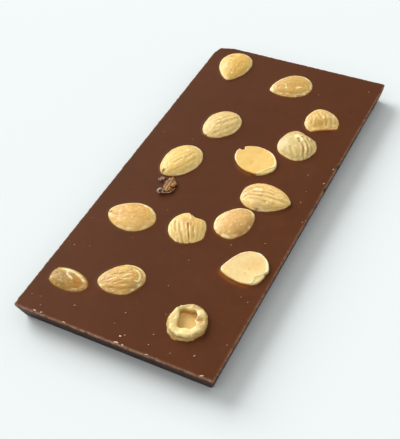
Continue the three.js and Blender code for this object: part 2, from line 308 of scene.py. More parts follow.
def threads(nut, x, y):
    """Share of the thin raised lines, painted pale as glints."""
    total = 0
    broken = np.clip(0.9 + 0.6 * noise(x * 1.1, y * 1.1, 0.6, nut["seed"] + 43), 0.4, 1)
    for strength, wide, points in nut.get("threads", ()):
        total = np.maximum(total, strength * broken * bell(path_distance(x, y, points), wide))
    return total


def marks(nut, kind, x, y, spread=0.0):
    """Share of a nut's raised marks, painted pale partly as scuffs and partly as glints, or of its pits,
    each a short mark; spread makes them larger.
    """
    total = 0
    for t, lateral, length, width, turn, strength in nut.get(kind, ()):
        length, width = length + spread, width + spread
        along, across = turned(*offsets(nut, x, y, t, lateral), -turn)
        across = across + 0.3 * width * noise(along * 1.7, t * 9, lateral * 9, nut["seed"] + 21)
        total = np.maximum(total, strength * bell(2 * along, length, 4) * bell(2 * across, width))
    return total


def nut_tint(nut, x, y, z, broad, mark, bank, raised):
    seed = nut["seed"]
    base = linear(nut["color"]) * NUT_RESPONSE
    fine = fbm(x * 0.9, y * 1.5, z * 0.3, 3, seed + 31)
    slow = fbm(x * 0.17, y * 0.22, 0.3, 2, seed + 47)
    streak = fbm(x * 0.3, y * 2.0, 0.5, 2, seed + 61)
    tint = base * (1 + 0.07 * slow + 0.06 * fine + nut.get("streak", 0.07) * streak)[..., None]
    # paler on the broad swellings and tan in the hollows between them: painted highlight and painted shade;
    # the fine noise adds paler random tone
    tint = mix(tint, CREAM, 0.20 * smooth(0.0, 0.9, broad) + 0.14 * smooth(0.1, 0.9, fine))
    tint = mix(tint, TAN, 0.22 * smooth(0.1, 0.9, -broad))
    # painted shade in the furrows and wrinkles
    tint = mix(tint, FURROW_SHADE, nut.get("stain", 0.45) * mark)
    # pale banks of the furrows: painted highlight
    tint = mix(tint, CREAM, 0.55 * bank * smooth(0.4, 1.0, z))
    # pale flank low on the nut: painted sheen
    ragged = 0.25 * noise(x * 0.7, y * 0.7, 0.5, seed + 3)
    tint = mix(tint, CREAM, nut.get("flank", 0.35) * smooth(1.3, 0.5, z + 2 * ragged))
    for t, lateral, radius, strength, color in nut.get("spots", ()):
        uneven = 1 + 0.25 * noise(x * 0.9, y * 0.9, 0.7, seed + 13)
        away = np.hypot(*offsets(nut, x, y, t, lateral)) * uneven
        tint = mix(tint, linear(color), strength * bell(away, radius))
    # ragged white line of painted highlight, strongest on the side away from the camera
    outward = np.arctan2(y / nut["width"] ** 2, x / nut["length"] ** 2)
    far = smooth(-0.2, 0.7, np.cos(outward + math.radians(nut["heading"] - FAR_SIDE)))
    broken = np.clip(0.2 + 1.3 * noise(x * 0.8, y * 0.8, z, seed + 19), 0, 1)
    line = bell(z + 0.5 * ragged - 0.55, 0.28, 4) * nut.get("edge", 1.0)
    tint = mix(tint, SCUFF_AND_GLINT, line * (0.7 * far + (0.85 - 0.5 * far) * broken))
    # darker round the raised marks, so that their painted glints stand out
    tint = mix(tint, TAN, 0.28 * marks(nut, "scuffs", x, y, 0.7) * (z > 0.3))
    # painted glints on the raised marks and threads, which are partly pale scuffs
    tint = mix(tint, SCUFF_AND_GLINT, 1.15 * raised)
    # chocolate film over a broken end and over the foot of the nut, darkened there with painted shade
    for limit, reach in nut.get("filmed", ()):
        tint = mix(tint, GLOW, 0.9 * smooth(0.1, reach, math.copysign(1, limit) * x - abs(limit)))
    tint = mix(tint, GLOW, 0.5 * smooth(0.35, 0.0, z + ragged))
    return mix(tint, CHOC, 0.85 * smooth(0.08, -0.3, z + 0.5 * ragged))


def nut_surface(nut, t, a, grow):
    """Points in the nut's own axes, and their colours; grow swells the whole nut."""
    t, a = np.broadcast_arrays(t, a)
    seed = nut["seed"]
    reach = plan_width(t, nut["tip"])
    lateral, sine = np.cos(a), np.sin(a)
    start, stop, flatter = nut.get("dip", (0, 1, 0))
    thick = NUT_THICK / 2 * reach * (1 - flatter * smooth(start, stop, t) * (sine > 0))
    level = nut["lift"] * ((1 + t) / 2) ** 3 + nut["rise"] - NUT_THICK / 2
    height = thick * sine + level
    half_width = nut["width"] / 2 * reach * flank_share(nut, t, lateral)
    plan_x, plan_y = nut["length"] / 2 * t, half_width * lateral
    upper = smooth(-0.2, 0.25, sine)
    broad = noise(a * nut["count"], t * 0.9, 0.4, seed)
    depth, mark = creases(nut, t, lateral)
    drawn, core, bank = furrows(nut, plan_x, plan_y)
    depth, mark = depth + drawn, np.maximum(mark, core)
    raised = np.maximum(marks(nut, "scuffs", plan_x, plan_y), threads(nut, plan_x, plan_y)) * upper
    sunken = marks(nut, "pits", plan_x, plan_y) * upper
    warp = 0.5 * noise(plan_x * 0.3, plan_y * 0.3, 0.8, seed + 15)
    wrinkle = 1 - np.abs(noise(plan_x * 0.30 + warp, plan_y * 0.75 + warp, 0.6, seed + 11)) * 2.2
    wrinkle = np.clip(wrinkle, 0, 1) ** 3
    relief = nut["soft"] * 0.5 * (broad - 1) - 0.8 * depth - nut["wrinkle"] * wrinkle
    relief = relief * upper * smooth(-0.4, 0.8, height) + 0.13 * raised - sunken
    relief = relief + 0.045 * fbm(plan_x * 0.7, plan_y * 1.1, 0.1, 3, seed + 9)
    relief = relief * np.minimum(1, reach * 1.6) + grow
    x, y, z = plan_x + grow * t, (half_width + relief) * lateral, (thick + relief) * sine + level
    for limit, beyond in nut.get("ends", ()):
        x = soft_end(x, limit, beyond)
    # furrows and wrinkles carry painted shade, the banks of the furrows painted highlight
    tint = nut_tint(nut, x, y, z, broad, np.maximum(mark, 0.4 * wrinkle) * upper, bank * upper, raised)
    return np.stack([x, y, z], -1), mix(tint, BROWN, np.clip(1.6 * sunken, 0, 0.8))


def whole_nut(nut, grow, steps):
    t = np.cos(np.pi * np.arange(1, steps) / steps)[:, None]
    w = np.linspace(-np.pi, np.pi, steps, endpoint=False)[None, :]
    body = nut_surface(nut, t, np.pi / 2 + w - 0.5 * np.sin(w), grow)
    caps = nut_surface(nut, np.array([[1.0], [-1.0]]), np.array([[np.pi / 2]]), grow)
    verts, colors = (np.concatenate([b.reshape(-1, 3), c.reshape(-1, 3)]) for b, c in zip(body, caps))
    count = (steps - 1) * steps
    return to_bar(verts, nut), lattice_faces(steps - 1, steps, count, count + 1), colors


def round_outline(nut, a, grow=0.0):
    """Plan outline of a split or hollow nut at the angles a, with its bites, trims and notches."""
    t, side = np.cos(a), np.sign(np.sin(a))
    share = 1.0
    for where, spread, amount in nut.get("bites", ()):
        share = share - amount * bell(apart_from(a, where), spread, 4)
    x = (nut["length"] / 2 + grow) * t * share
    for limit, beyond in nut.get("ends", ()):
        x = soft_end(x, limit, beyond)
    y = (nut["width"] / 2 * plan_width(t, nut["tip"]) * flank_share(nut, t, side) + grow) * side * share
    for notch_x, notch_y, radius in nut.get("notches", ()):
        size = x * x + y * y
        toward = x * notch_x + y * notch_y
        root = toward * toward - size * (notch_x**2 + notch_y**2 - radius**2)
        back = (toward - np.sqrt(np.clip(root, 0, None))) / np.maximum(size, 1e-6)
        back = np.where((root > 0) & (toward > 0), np.minimum(back, 1), 1)
        x, y = x * back, y * back
    return x, y


HOLLOW_SQUARE = 0.12                         # how far the hollow's plan leans to a square
HOLLOW_SHIFT = np.array([0.5, 0.2, 0.0])     # place of its middle
START_ANGLE = 1e-4                           # keeps the first vertex off the line between the two flanks


def round_nut(nut, profile, relief, grow, around, steps):
    """Ring lattice about +Z with the nut's plan outline, and each vertex's angle, radius and hollow.

    Profile rows are the radius as a share of the outline, the height, and 1 where the hollow is."""
    rows = curve_points(profile, steps)[::-1]
    rows[:, 0] = np.clip(rows[:, 0], 0, None)
    a = circle(around) + START_ANGLE
    a, q, h, hollow = np.broadcast_arrays(a, *(rows[1:-1, k:k + 1] for k in range(3)))
    reach = q * (1 - HOLLOW_SQUARE * hollow * np.cos(4 * a))
    edge_x, edge_y = round_outline(nut, a, grow)
    x, y = edge_x * reach + HOLLOW_SHIFT[0] * hollow, edge_y * reach + HOLLOW_SHIFT[1] * hollow
    dz, dr = relief(nut, a, q, h, x, y, hollow)
    points = np.stack([x + dr * np.cos(a), y + dr * np.sin(a), h + dz], -1)
    ends = rows[[0, -1], 2:] * HOLLOW_SHIFT
    ends[:, 2] = rows[[0, -1], 1]
    count = q.size
    faces = lattice_faces(len(q), around, count, count + 1)
    values = np.append(a, [0, 0]), np.append(q, [0, 0]), np.append(hollow, rows[[0, -1], 2])
    return np.concatenate([points.reshape(-1, 3), ends]), faces, values


# Split nuts.
def chip_depth(nut, x, y):
    """How far a point lies inside the broken-off corner; negative outside it."""
    depth = -9.0
    for (px, py), normals in nut["chips"]:
        inside = [turned(x - px, y - py, -normal)[0] for normal in normals]
        depth = np.maximum(depth, np.minimum.reduce(inside))
    return depth + 0.25 * noise(x * 1.1, y * 1.1, 0.3, nut["seed"] + 33)


def half_relief(nut, a, q, h, x, y, hollow):
    seed = nut["seed"]
    top = smooth(nut["rise"] - 1.2, nut["rise"] - 0.4, h)
    dip = -0.14 * bell(x + 0.5, 3.6) * bell(y, 2.8)
    swell = 0.10 * fbm(x * 0.2, y * 0.2, 0.2, 2, seed) + 0.02 * fbm(x * 1.2, y * 1.2, 0.2, 2, seed + 2)
    lip = 0.07 * bell(q - 0.95, 0.035) * (1 + noise(a * 3, 0.5, 0.5, seed + 4))
    broken = -0.26 * smooth(0.0, 0.6, chip_depth(nut, x, y))
    dr = 0.12 * fbm(np.cos(a) * 3, np.sin(a) * 3, h * 0.5, 3, seed + 8) * smooth(0.7, 1, q)
    return (dip + swell + lip + broken) * top, dr


def half_nut(nut, grow, around):
    top = nut["rise"] + grow
    low = nut["rise"] - HALF_THICK - grow
    profile = [
        (0, low), (0.5, low + 0.4), (0.8, low + 1.4), (0.95, low + 2.6), (1, top - 0.8), (0.99, top - 0.25),
        (0.965, top - 0.04), (0.9, top), (0.6, top - 0.08), (0.3, top - 0.12), (0, top - 0.14),
    ]
    profile = [(radius, height, 0) for radius, height in profile]
    verts, faces, (a, q, _) = round_nut(nut, profile, half_relief, grow, around, 8)
    x, y, z = verts.T
    seed = nut["seed"]
    patches = 1 + 0.04 * fbm(x * 0.25, y * 0.25, 0.1, 3, seed + 1)
    tint = linear(nut["color"]) * NUT_RESPONSE * patches[:, None]
    for where, beside, radius, strength, color in nut["spots"]:
        away = np.hypot(x - where, y - beside) * (1 + 0.2 * noise(x * 0.5, y * 0.5, 0.7, seed + 13))
        tint = mix(tint, linear(color) * NUT_RESPONSE, strength * bell(away, radius) * (z > 0))
    tint = mix(tint, CREAM, 0.25 * smooth(0.0, 0.9, fbm(x * 0.22, y * 0.22, 0.6, 2, seed + 5)))
    # pale line round the split face: painted highlight, left out at the bare edge
    centre, spread = nut["bare_edge"]
    rimmed = 1 - bell(apart_from(a, centre), math.radians(spread), 4)
    line = smooth(0.89, 0.95, q + 0.03 * noise(x * 0.6, y * 0.6, 0.2, seed + 2))
    tint = mix(tint, linear(nut["rim"]) * NUT_RESPONSE, 0.9 * line * rimmed)
    depth = chip_depth(nut, x, y)
    tint = mix(tint, FACET, 0.5 * smooth(0, 0.3, depth))
    # white line along the break: painted highlight
    tint = mix(tint, SCUFF_AND_GLINT, bell(depth + 0.05, 0.26) * (z > 0))
    # side below the face: chocolate film with painted shade, stronger where the rim has no line
    side = 1 - smooth(nut["rise"] - 0.6, nut["rise"] - 0.15, z + 0.15 * noise(x * 0.8, y * 0.8, z, seed + 3))
    tint = mix(tint, GLOW, side * (0.9 - 0.6 * rimmed) * (depth < 0))
    tint = mix(tint, CHOC, 0.85 * smooth(0.1, -0.3, z))
    for where, width, amount in nut.get("bites", ()):
        near = bell(apart_from(a, where), width * 1.1) * smooth(0.8, 0.95, q)
        tint = mix(tint, BROWN, near * min(1, amount * 6))
    return to_bar(verts, nut), faces, tint


# The hollow nut. Swellings of its rim: angle from its heading in degrees, spread in radians, height.
RIM_LUMPS = (
    (-62, 0.35, 1.2), (-11, 0.3, 0.9), (60, 0.3, 0.8), (105, 0.35, 1.1), (140, 0.3, 1.0), (190, 0.5, 0.9),
    (243, 0.35, 1.2),
)
# Where its rim leans in over the hollow: angle, spread, mm.
RIM_LEANS = ((-70, 0.65, 1.3), (180, 0.95, 1.4), (90, 0.7, 0.8))
# Dimples on its rim: x, y, radius, depth.
RIM_DIMPLES = ((1.1, -4.7, 0.9, 0.7), (-0.6, -4.1, 0.55, 0.4))
# Angles of the fold across the rim, of its flattened lip and of the crack below it.
RIM_FOLD = 44
RIM_SHELF = 178
RIM_CRACK = 158
CUP_LOW = -4.9
CUP_FLOOR = -0.8
# inside the hollow: the wall darkened with painted shade, the floor brightened with painted light
SHADED_INNER_WALL = linear((206, 148, 74))
LIT_INNER_FLOOR = linear((255, 216, 132)) * 1.07


def cup_shelf(a):
    """Share of the flattened lip on the side of the blunt end."""
    return bell(apart_from(a, RIM_SHELF), 0.8, 4)


def cup_relief(nut, a, q, h, x, y, hollow):
    seed = nut["seed"]
    lump = sum(size * bell(apart_from(a, centre), spread) for centre, spread, size in RIM_LUMPS) - 1
    lean = sum(size * bell(apart_from(a, centre), spread, 4) for centre, spread, size in RIM_LEANS)
    on_rim = smooth(0.55, 0.75, q) * smooth(-1.5, 0.5, h)
    bumps = fbm(x * 0.28, y * 0.28, h * 0.28, 2, seed)
    fold = np.clip(1 - np.abs(noise(x * 0.5, y * 0.5, h * 0.5, seed + 20)) * 2.4, 0, 1) ** 2
    dz = on_rim * (0.45 * lump + 0.18 * bumps - 0.12 * fold) + 0.04 * fbm(x * 0.9, y * 0.9, 0.4, 2, seed + 3)
    dz = dz - 0.42 * cup_shelf(a) * (h - CUP_FLOOR) * smooth(0.9, 0.62, q) * (h > CUP_FLOOR)
    for dx, dy, radius, depth in RIM_DIMPLES:
        dz = dz - depth * on_rim * bell(np.hypot(x - dx, y - dy), radius)
    dz = dz - 0.5 * on_rim * bell(apart_from(a, RIM_FOLD), 0.07)
    inner = smooth(0.2, 0.7, hollow) * smooth(-0.6, 1.2, h)
    dr = 0.35 * fbm(x * 0.4 + 7, y * 0.4, h * 0.35, 3, seed + 6) * smooth(0.35, 0.6, q) * smooth(-2, 0, h)
    foot = bell(apart_from(a, RIM_CRACK), 0.7) * (q > 0.9)
    dr = dr + foot * (0.55 * bell(h - 0.2, 0.5) - 0.5 * bell(h - 1.1, 0.3))
    return dz, dr - lean * inner - 0.10 * fold * on_rim


def cup_nut(nut, grow, around):
    """The hollow nut, or where grow is below zero the cutter of its pocket, which has no hollow."""
    top, low, floor = nut["rise"], CUP_LOW - grow, CUP_FLOOR
    profile = [
        (0, low, 0), (0.5, low + 0.4, 0), (0.82, low + 1.8, 0), (0.97, low + 3.6, 0), (1, -0.5, 0),
        (1.01, 0, 0), (1.01, 0.35, 0), (1, 0.8, 0), (0.99, 1.2, 0), (0.95, top - 0.6, 0),
        (0.88, top - 0.1, 0.2), (0.78, top, 0.5), (0.68, top - 0.35, 0.8), (0.61, top - 1.2, 1),
        (0.58, floor + 0.8, 1), (0.53, floor + 0.12, 1), (0.3, floor, 1), (0, floor, 1),
    ]
    if grow < 0:
        profile = profile[:9] + [(0.9, top, 0), (0.5, top, 0), (0, top, 0)]
    verts, faces, (a, q, hollow) = round_nut(nut, profile, cup_relief, grow, around, 7)
    x, y, z = verts.T
    seed = nut["seed"]
    inside = smooth(0.7, 1.0, hollow)
    bumps = fbm(x * 0.33, y * 0.33, z * 0.33, 3, seed)
    patches = 1 + 0.04 * fbm(x * 0.8, y * 0.8, z * 0.8, 2, seed + 11)
    tint = linear(nut["color"]) * NUT_RESPONSE * patches[:, None]
    # paler high on the rim: painted highlight; tan in the low bumps: painted shade
    tint = mix(tint, CREAM, 0.55 * smooth(1.2, 2.2, z) * smooth(-0.6, 0.2, bumps))
    tint = mix(tint, TAN, 0.30 * smooth(-0.1, -0.7, bumps) * smooth(-0.5, 0.8, z))
    # tan outer flank below the rim: painted shade
    tint = mix(tint, TAN, 0.35 * smooth(0.90, 0.97, q) * smooth(1.9, 1.0, z))
    # brown crack line: painted shade in the crack
    crack = bell(apart_from(a, RIM_CRACK), 0.65, 4) * bell(z - 1.15, 0.16) * (q > 0.93)
    tint = mix(tint, BROWN, 0.8 * crack)
    # tan in the dimples: painted shade
    for dx, dy, radius, _ in RIM_DIMPLES:
        tint = mix(tint, TAN, 0.8 * bell(np.hypot(x - dx, y - dy), radius) * (z > 0.8))
    # pale flattened lip and white crest line round the rim: painted highlight
    shelf = cup_shelf(a) * (1 - inside)
    tint = mix(tint, CREAM, 0.8 * shelf * smooth(0.92, 0.86, q))
    crest = bell(q - 0.70, 0.05) * (1 - shelf) + 0.9 * bell(q - 0.90, 0.03) * shelf
    tint = mix(tint, SCUFF_AND_GLINT, crest * (0.55 + 0.8 * bumps) * (z > 0.6))
    # darker inner wall: painted shade; brighter floor: painted light
    tint = mix(tint, SHADED_INNER_WALL, 0.85 * inside * smooth(1.3, 0.6, z))
    tint = mix(tint, LIT_INNER_FLOOR, 0.95 * inside * smooth(-0.15, -0.55, z))
    # chocolate film with painted shade at the foot
    tint = mix(tint, GLOW, 0.45 * (1 - inside) * smooth(0.9, 0.0, z + 0.3 * noise(x, y, 0.3, seed + 12)))
    tint = mix(tint, CHOC, 0.85 * (1 - inside) * smooth(0.1, -0.3, z))
    return to_bar(verts, nut), faces, tint


# Rows of the nuts. Lengths are in mm; t runs from -1 at the blunt end to 1 at the tip and lateral from
# -1 to 1 across; a side is 1 or -1. x along the nut, y across it.
# seed: number of the nut, which also picks its noise. form: whole unless given. slot: almond unless given.
# x to lift: place, heading and size as in the solids; rise is the top's height and lift that of the tip.
# color and rim: photographed colours of the nut, and of the line of painted highlight round a split face.
# soft, count, wrinkle: height and number of its broad swellings, and depth of its fine wrinkles.
# lines: furrows as lateral at the blunt end and at the tip, bow, start and stop in t, depth, width.
# paths and threads: furrows, which carry painted shade, and raised lines painted pale as glints, as depth or
# strength, width, and points x, y.
# scuffs and pits: raised marks painted pale, partly as scuffs and partly as glints, and dark holes, as t,
# lateral, length, width, turn, strength or depth.
# spots: t, lateral (x, y on split nuts), radius, strength, colour.
# trims: a side is narrower from t to t by a share. ends: limit along x, and reach beyond it.
# dip: flatter from t to t by a share. filmed: chocolate film with painted shade from a limit along x, and
# its reach.
# flank, edge, stain, streak: strength of the pale flank, which is painted sheen, of the white line, which is
# painted highlight, of the furrow colour, which is painted shade, and of the long streaks.
# Split nuts: bites as angle, spread, share; notches as x, y, radius; chips as a point and the bearings
# of the breaks through it; bare_edge and glow are where the rim lacks its line of painted highlight and how
# warm the painted glow beside it is.
NUTS = [
    dict(seed=1, x=-25.5, y=68.1, heading=-83, length=20, width=15, tip=0.78, rise=2.4, lift=1.6,
        color=(228, 188, 104), soft=0.1, count=1.6, wrinkle=0.03,
        lines=((0.2, 0.2, 0.1, 0, 0.7, 0.06, 0.05), (0, 0.05, 0, 0.1, 0.8, 0.06, 0.05)),
        scuffs=((0.63, 0.22, 1, 0.8, 60, 0.8), (0.3, 0.35, 3, 0.5, 5, 0.25),
            (0.4, 0.15, 3.5, 0.5, 5, 0.25), (0.5, -0.15, 3, 0.4, -5, 0.2), (0.93, 0, 1.2, 1.6, 0, 0.5)),
        spots=((-0.45, -0.38, 0.9, 0.45, (130, 82, 40)), (-0.16, -0.27, 0.5, 0.4, (130, 82, 40)))),
    dict(seed=2, x=3, y=64.3, heading=215, length=19, width=16, tip=0.72, rise=2, lift=1.6,
        color=(208, 168, 96), soft=0.12, count=1.8, wrinkle=0.05, flank=0.2,
        scuffs=((-0.24, 0.42, 2.4, 0.9, 10, 0.8), (0.29, 0.32, 1, 0.9, 0, 0.8),
            (0.27, 0.05, 0.7, 1.6, 10, 0.6), (0.55, 0.1, 1.8, 0.5, 30, 0.35),
            (0.72, 0.05, 1.6, 0.7, 50, 0.5), (0.4, -0.15, 1.5, 0.5, 10, 0.3), (-0.1, 0.8, 4, 0.5, 0, 0.5),
            (0.3, 0.72, 1.4, 0.6, -20, 0.6), (-0.45, 0.85, 1.2, 0.7, 60, 0.6),
            (0.9, 0.05, 2, 1.2, 0, 0.4), (-0.75, 0.3, 1.6, 0.5, 70, 0.3))),
    dict(seed=3, x=-13.7, y=31.4, heading=250, length=18.3, width=15.5, tip=0.55, rise=2.6, lift=0.5,
        color=(224, 194, 138), soft=0.16, count=2.2, wrinkle=0.08, trims=((-1, -0.3, 0.6, 0.1),),
        stain=0.3,
        paths=((0.12, 0.6, ((2.9, 0.3), (-0.3, 2.1), (-5.2, 2.9), (-7, 3.2))),
            (0.14, 0.6, ((7, 2.5), (3, 4.1), (-1.5, 5.2), (-4.5, 5.7))),
            (0.08, 0.5, ((2, -1.2), (-1.5, -0.2), (-5.5, 0.4)))),
        scuffs=((-0.1, -0.18, 1.8, 1, 70, 0.6), (0.12, -0.08, 1.2, 0.8, 30, 0.4),
            (-0.4, -0.25, 1.5, 0.5, 20, 0.3), (-0.1, 0.35, 3, 0.5, 0, 0.3),
            (0.35, 0.2, 2.4, 0.5, 0, 0.25), (0.9, -0.2, 0.8, 1.6, 0, 0.5)),
        pits=((0.97, 0.05, 1.3, 0.7, 90, 0.5),),
        spots=((0.12, 0.6, 0.6, 0.4, (170, 115, 60)), (-0.15, 0.3, 0.4, 0.4, (150, 95, 45)))),
    dict(seed=4, x=23.2, y=47.3, heading=118, length=19, width=15.3, tip=0.65, rise=2.3, lift=0.4,
        color=(210, 173, 100), soft=0.1, count=2.2, wrinkle=0.04, ends=((-4.2, 0.8),),
        trims=((1, -0.1, -0.5, -0.05), (-1, -0.1, -0.5, -0.05)),
        dip=(0.15, -0.5, 0.4), filmed=((-4.2, 0.4),), flank=0.1, edge=0.6,
        paths=((0.14, 0.45, ((4, 3.1), (1.3, 3.6), (-1, 4))),
            (0.14, 0.45, ((4.9, 1), (2.5, 0.2), (0.5, -0.2))),
            (0.18, 0.45, ((5.1, -1.1), (2.6, -2), (-0.1, -2.1), (-2.7, -1.5))),
            (0.18, 0.5, ((4.8, -2.5), (1.5, -3.9), (-1.6, -4.1), (-4.6, -3.5))),
            (0.22, 0.45, ((3.2, -4.4), (0, -5.4), (-3, -5.4), (-4.6, -4.8)))),
        scuffs=((0.12, -0.13, 1.6, 0.7, 0, 0.8), (0.35, 0.25, 3, 0.5, -10, 0.35),
            (0.3, 0.5, 2.6, 0.5, -20, 0.3), (0.3, -0.4, 3.4, 0.5, 10, 0.35), (0.1, -0.7, 4, 0.5, 5, 0.4),
            (0.93, 0.1, 1.3, 2, 0, 0.6))),
    dict(seed=5, x=19.4, y=31, heading=118, length=17.8, width=16, tip=0.55, rise=2.8, lift=0.3,
        color=(214, 190, 134), soft=0.22, count=1.5, wrinkle=0.05, stain=0.45,
        trims=((-1, 0.1, 0.7, 0.26), (1, 0.2, 0.9, 0.1), (1, -0.2, -1, 0.18), (-1, -0.5, -1, 0.1)),
        paths=((0.55, 0.46, ((1.4, -0.9), (-0.4, -1.7), (-3.6, -2.5), (-6.4, -2), (-8.4, -2.1))),
            (0.45, 0.42, ((2.5, -2.5), (-0.2, -3.8), (-3.2, -4.3), (-6, -3.9), (-8.1, -3.2))),
            (0.4, 0.4, ((1.8, -4.4), (-1.6, -5.5), (-4.5, -5.5), (-7, -4.8))),
            (0.32, 0.38, ((0.8, -5.8), (-2.2, -6.5), (-4.4, -6.3), (-6.1, -5.7))),
            (0.14, 0.5, ((-2.5, 2.8), (-5.4, 2.3), (-8.3, 2)))),
        scuffs=((0.36, -0.1, 2.4, 1.9, 20, 1.2), (0.1, -0.28, 2, 1.2, -8, 1.2),
            (-0.35, 0.05, 2.4, 0.7, 10, 0.3), (-0.45, -0.42, 3, 0.4, 3, 0.4),
            (0.95, 0.05, 1, 2.6, 0, 0.4)),
        pits=((-0.03, -0.13, 1.3, 0.9, 0, 0.28),),
        spots=((0.12, -0.42, 2.6, 0.35, (176, 138, 74)), (-0.45, -0.55, 2.8, 0.3, (188, 148, 86)),
            (0.5, -0.3, 1.6, 0.35, (196, 160, 92)), (0.15, 0.55, 4.6, 0.55, (222, 206, 148)),
            (0.7, 0.15, 1.6, 0.4, (200, 178, 104)))),
    dict(seed=6, x=-18.9, y=6.1, heading=253, length=20.2, width=15.6, tip=0.6, rise=2.5, lift=1.4,
        color=(229, 196, 122), soft=0.14, count=2.2, wrinkle=0.05, trims=((-1, -0.3, 0.6, 0.08),),
        stain=0.25,
        paths=((0.12, 0.6, ((8.5, 2.2), (4.6, 3.7), (0.1, 4.7), (-3.5, 4.6))),
            (0.11, 0.6, ((4.7, 0.3), (1.3, 1.1), (-1.6, 2.3), (-5.2, 2.2))),
            (0.1, 0.6, ((6.5, 4.4), (2.5, 5.9), (-2, 6.2))),
            (0.09, 0.5, ((7, -0.8), (3, -0.9), (0, -0.2)))),
        scuffs=((-0.45, -0.08, 2, 1.1, 25, 0.75), (-0.05, 0.16, 1, 0.8, 30, 0.7),
            (-0.25, 0.1, 1.2, 0.4, 30, 0.4), (0.12, 0.22, 2.4, 0.4, -15, 0.4),
            (0.35, 0.3, 3, 0.5, -12, 0.35), (-0.2, 0.42, 3, 0.5, 5, 0.3),
            (0.55, 0.05, 2.4, 0.4, -5, 0.25), (-0.62, 0.05, 1.6, 0.5, 20, 0.35),
            (-0.2, 0.85, 1.4, 0.8, 0, 0.6)),
        pits=((0.93, -0.16, 1.8, 1.3, 20, 0.8),)),
    dict(seed=7, form="half", slot="almond_pale", x=8, y=17, heading=162, length=18.2, width=14, tip=0.55,
        rise=1, color=(238, 200, 128), rim=(255, 240, 206), notches=((8.3, -1.6, 1.05),),
        bare_edge=(100, 45), glow=0.3, chips=(((-6.9, 1.8), (163,)),),
        spots=((0.6, -0.6, 2.4, 0.45, (232, 190, 112)),)),
    dict(seed=8, x=20, y=-0.1, heading=2, length=20, width=14.8, tip=0.72, rise=2.7, lift=1.6,
        color=(234, 196, 134), soft=0.16, count=2.2, wrinkle=0.08, ends=((-8.9, 0.5),), stain=0.3,
        streak=0.12,
        paths=((0.28, 0.55, ((-6.8, -3.2), (-4.4, -2), (-0.5, -1.8), (3.2, -1.2), (7.5, -1),
            (9.7, -0.7))), (0.26, 0.5, ((-4.1, -0.4), (-1.4, 0.2), (2.5, 0.5), (5.5, 0.3))),
            (0.24, 0.5, ((-7.5, -0.5), (-6.5, 0.8), (-5.6, 1.9), (-3.6, 3), (0, 3.4))),
            (0.2, 0.45, ((-1, 2.2), (2.5, 2.2), (6, 1))),
            (0.24, 0.5, ((-5.5, -3.8), (-2, -3.4), (1.5, -3.6)))),
        scuffs=((-0.32, 0.16, 3, 1.2, 12, 0.95), (-0.1, -0.06, 3.2, 0.5, -8, 0.55),
            (0.2, 0.3, 2.6, 0.4, -25, 0.4), (0.1, -0.22, 3, 0.5, 0, 0.5), (0.35, -0.5, 0.7, 1.8, 10, 0.6),
            (0.1, 0.05, 2.2, 0.4, -20, 0.4), (-0.3, -0.7, 2.4, 1, 10, 0.4), (0.45, 0.1, 2, 0.4, -20, 0.4),
            (-0.7, -0.2, 1.6, 0.5, 70, 0.4), (0, -0.85, 3, 0.7, 0, 0.4)),
        spots=((-0.08, -0.93, 0.7, 0.85, (95, 62, 38)), (0.75, 0.2, 2, 0.35, (206, 176, 84)),
            (-0.1, -0.72, 3, 0.3, (196, 178, 130)), (-0.75, 0.1, 3.4, 0.45, (196, 150, 96)))),
    dict(seed=9, x=14.86, y=-15.85, heading=63, length=17.6, width=14.6, tip=0.62, rise=2.1, lift=1.1,
        color=(222, 180, 122), soft=0.08, count=2, wrinkle=0.03,
        ends=((7.9, 0.6), (-8.3, 0.6)),
        trims=((1, 0.2, 0.8, -0.12), (-1, 0.1, 0.7, 0.06), (-1, -0.3, -0.9, -0.22)),
        flank=0.12,
        scuffs=((0.19, 0.31, 0.8, 0.5, 0, 0.5), (-0.29, 0.15, 1, 0.5, -20, 0.5),
            (-0.57, 0.12, 0.8, 0.5, 0, 0.4), (-0.05, -0.14, 1.2, 0.4, 30, 0.6),
            (0.06, -0.48, 0.8, 0.5, 10, 0.55), (-0.1, -0.38, 0.7, 0.5, 0, 0.5),
            (-0.53, -0.5, 1, 0.4, 30, 0.7), (-0.85, -0.5, 0.8, 0.4, -30, 0.4),
            (0.35, 0.05, 0.8, 0.4, 0, 0.4), (-0.1, 0.6, 4, 1.8, 5, 0.45), (0.5, -0.15, 0.8, 0.4, 60, 0.4),
            (-0.3, -0.2, 1.6, 0.4, 20, 0.35)),
        spots=((-0.1, -0.95, 3, 0.6, (186, 126, 56)), (0.45, -0.9, 2.2, 0.5, (190, 132, 62)))),
    dict(seed=10, x=0.2, y=-24.9, heading=117, length=16, width=15, tip=0.5, rise=2.6, lift=0, stain=0.5,
        color=(234, 199, 130), soft=0.3, count=1.7, wrinkle=0.06,
        trims=((-1, 0.36, 0.56, 0.4), (-1, 0.5, 1, 0.25), (1, -0.5, -1, -0.1), (-1, -0.3, -1, -0.3)),
        ends=((-7.3, 0.4),),
        lines=((0.72, 0.66, 0.05, -0.9, -0.2, 0.25, 0.05), (-0.38, -0.3, 0, -0.9, -0.1, 0.4, 0.06),
            (-0.62, -0.55, 0, -0.8, 0.1, 0.22, 0.06), (-0.42, -0.42, 0, 0.2, 0.8, 0.35, 0.1)),
        paths=((0.6, 0.3, ((0, -0.5), (-2.4, -0.6), (-5.5, -0.8), (-8.2, -1))),
            (0.36, 0.45, ((2.4, 4.4), (-0.7, 4.4), (-3.8, 4), (-7.5, 3))),
            (0.34, 0.45, ((1.3, 2.5), (-0.8, 2.5), (-3.9, 2.2), (-7.6, 1.5))),
            (0.3, 0.42, ((0.5, 5.9), (-2.5, 5.6), (-5.5, 4.6)))),
        scuffs=((-0.3, -0.18, 2.8, 0.6, 0, 0.5), (-0.5, 0.12, 2.6, 0.5, 0, 0.45),
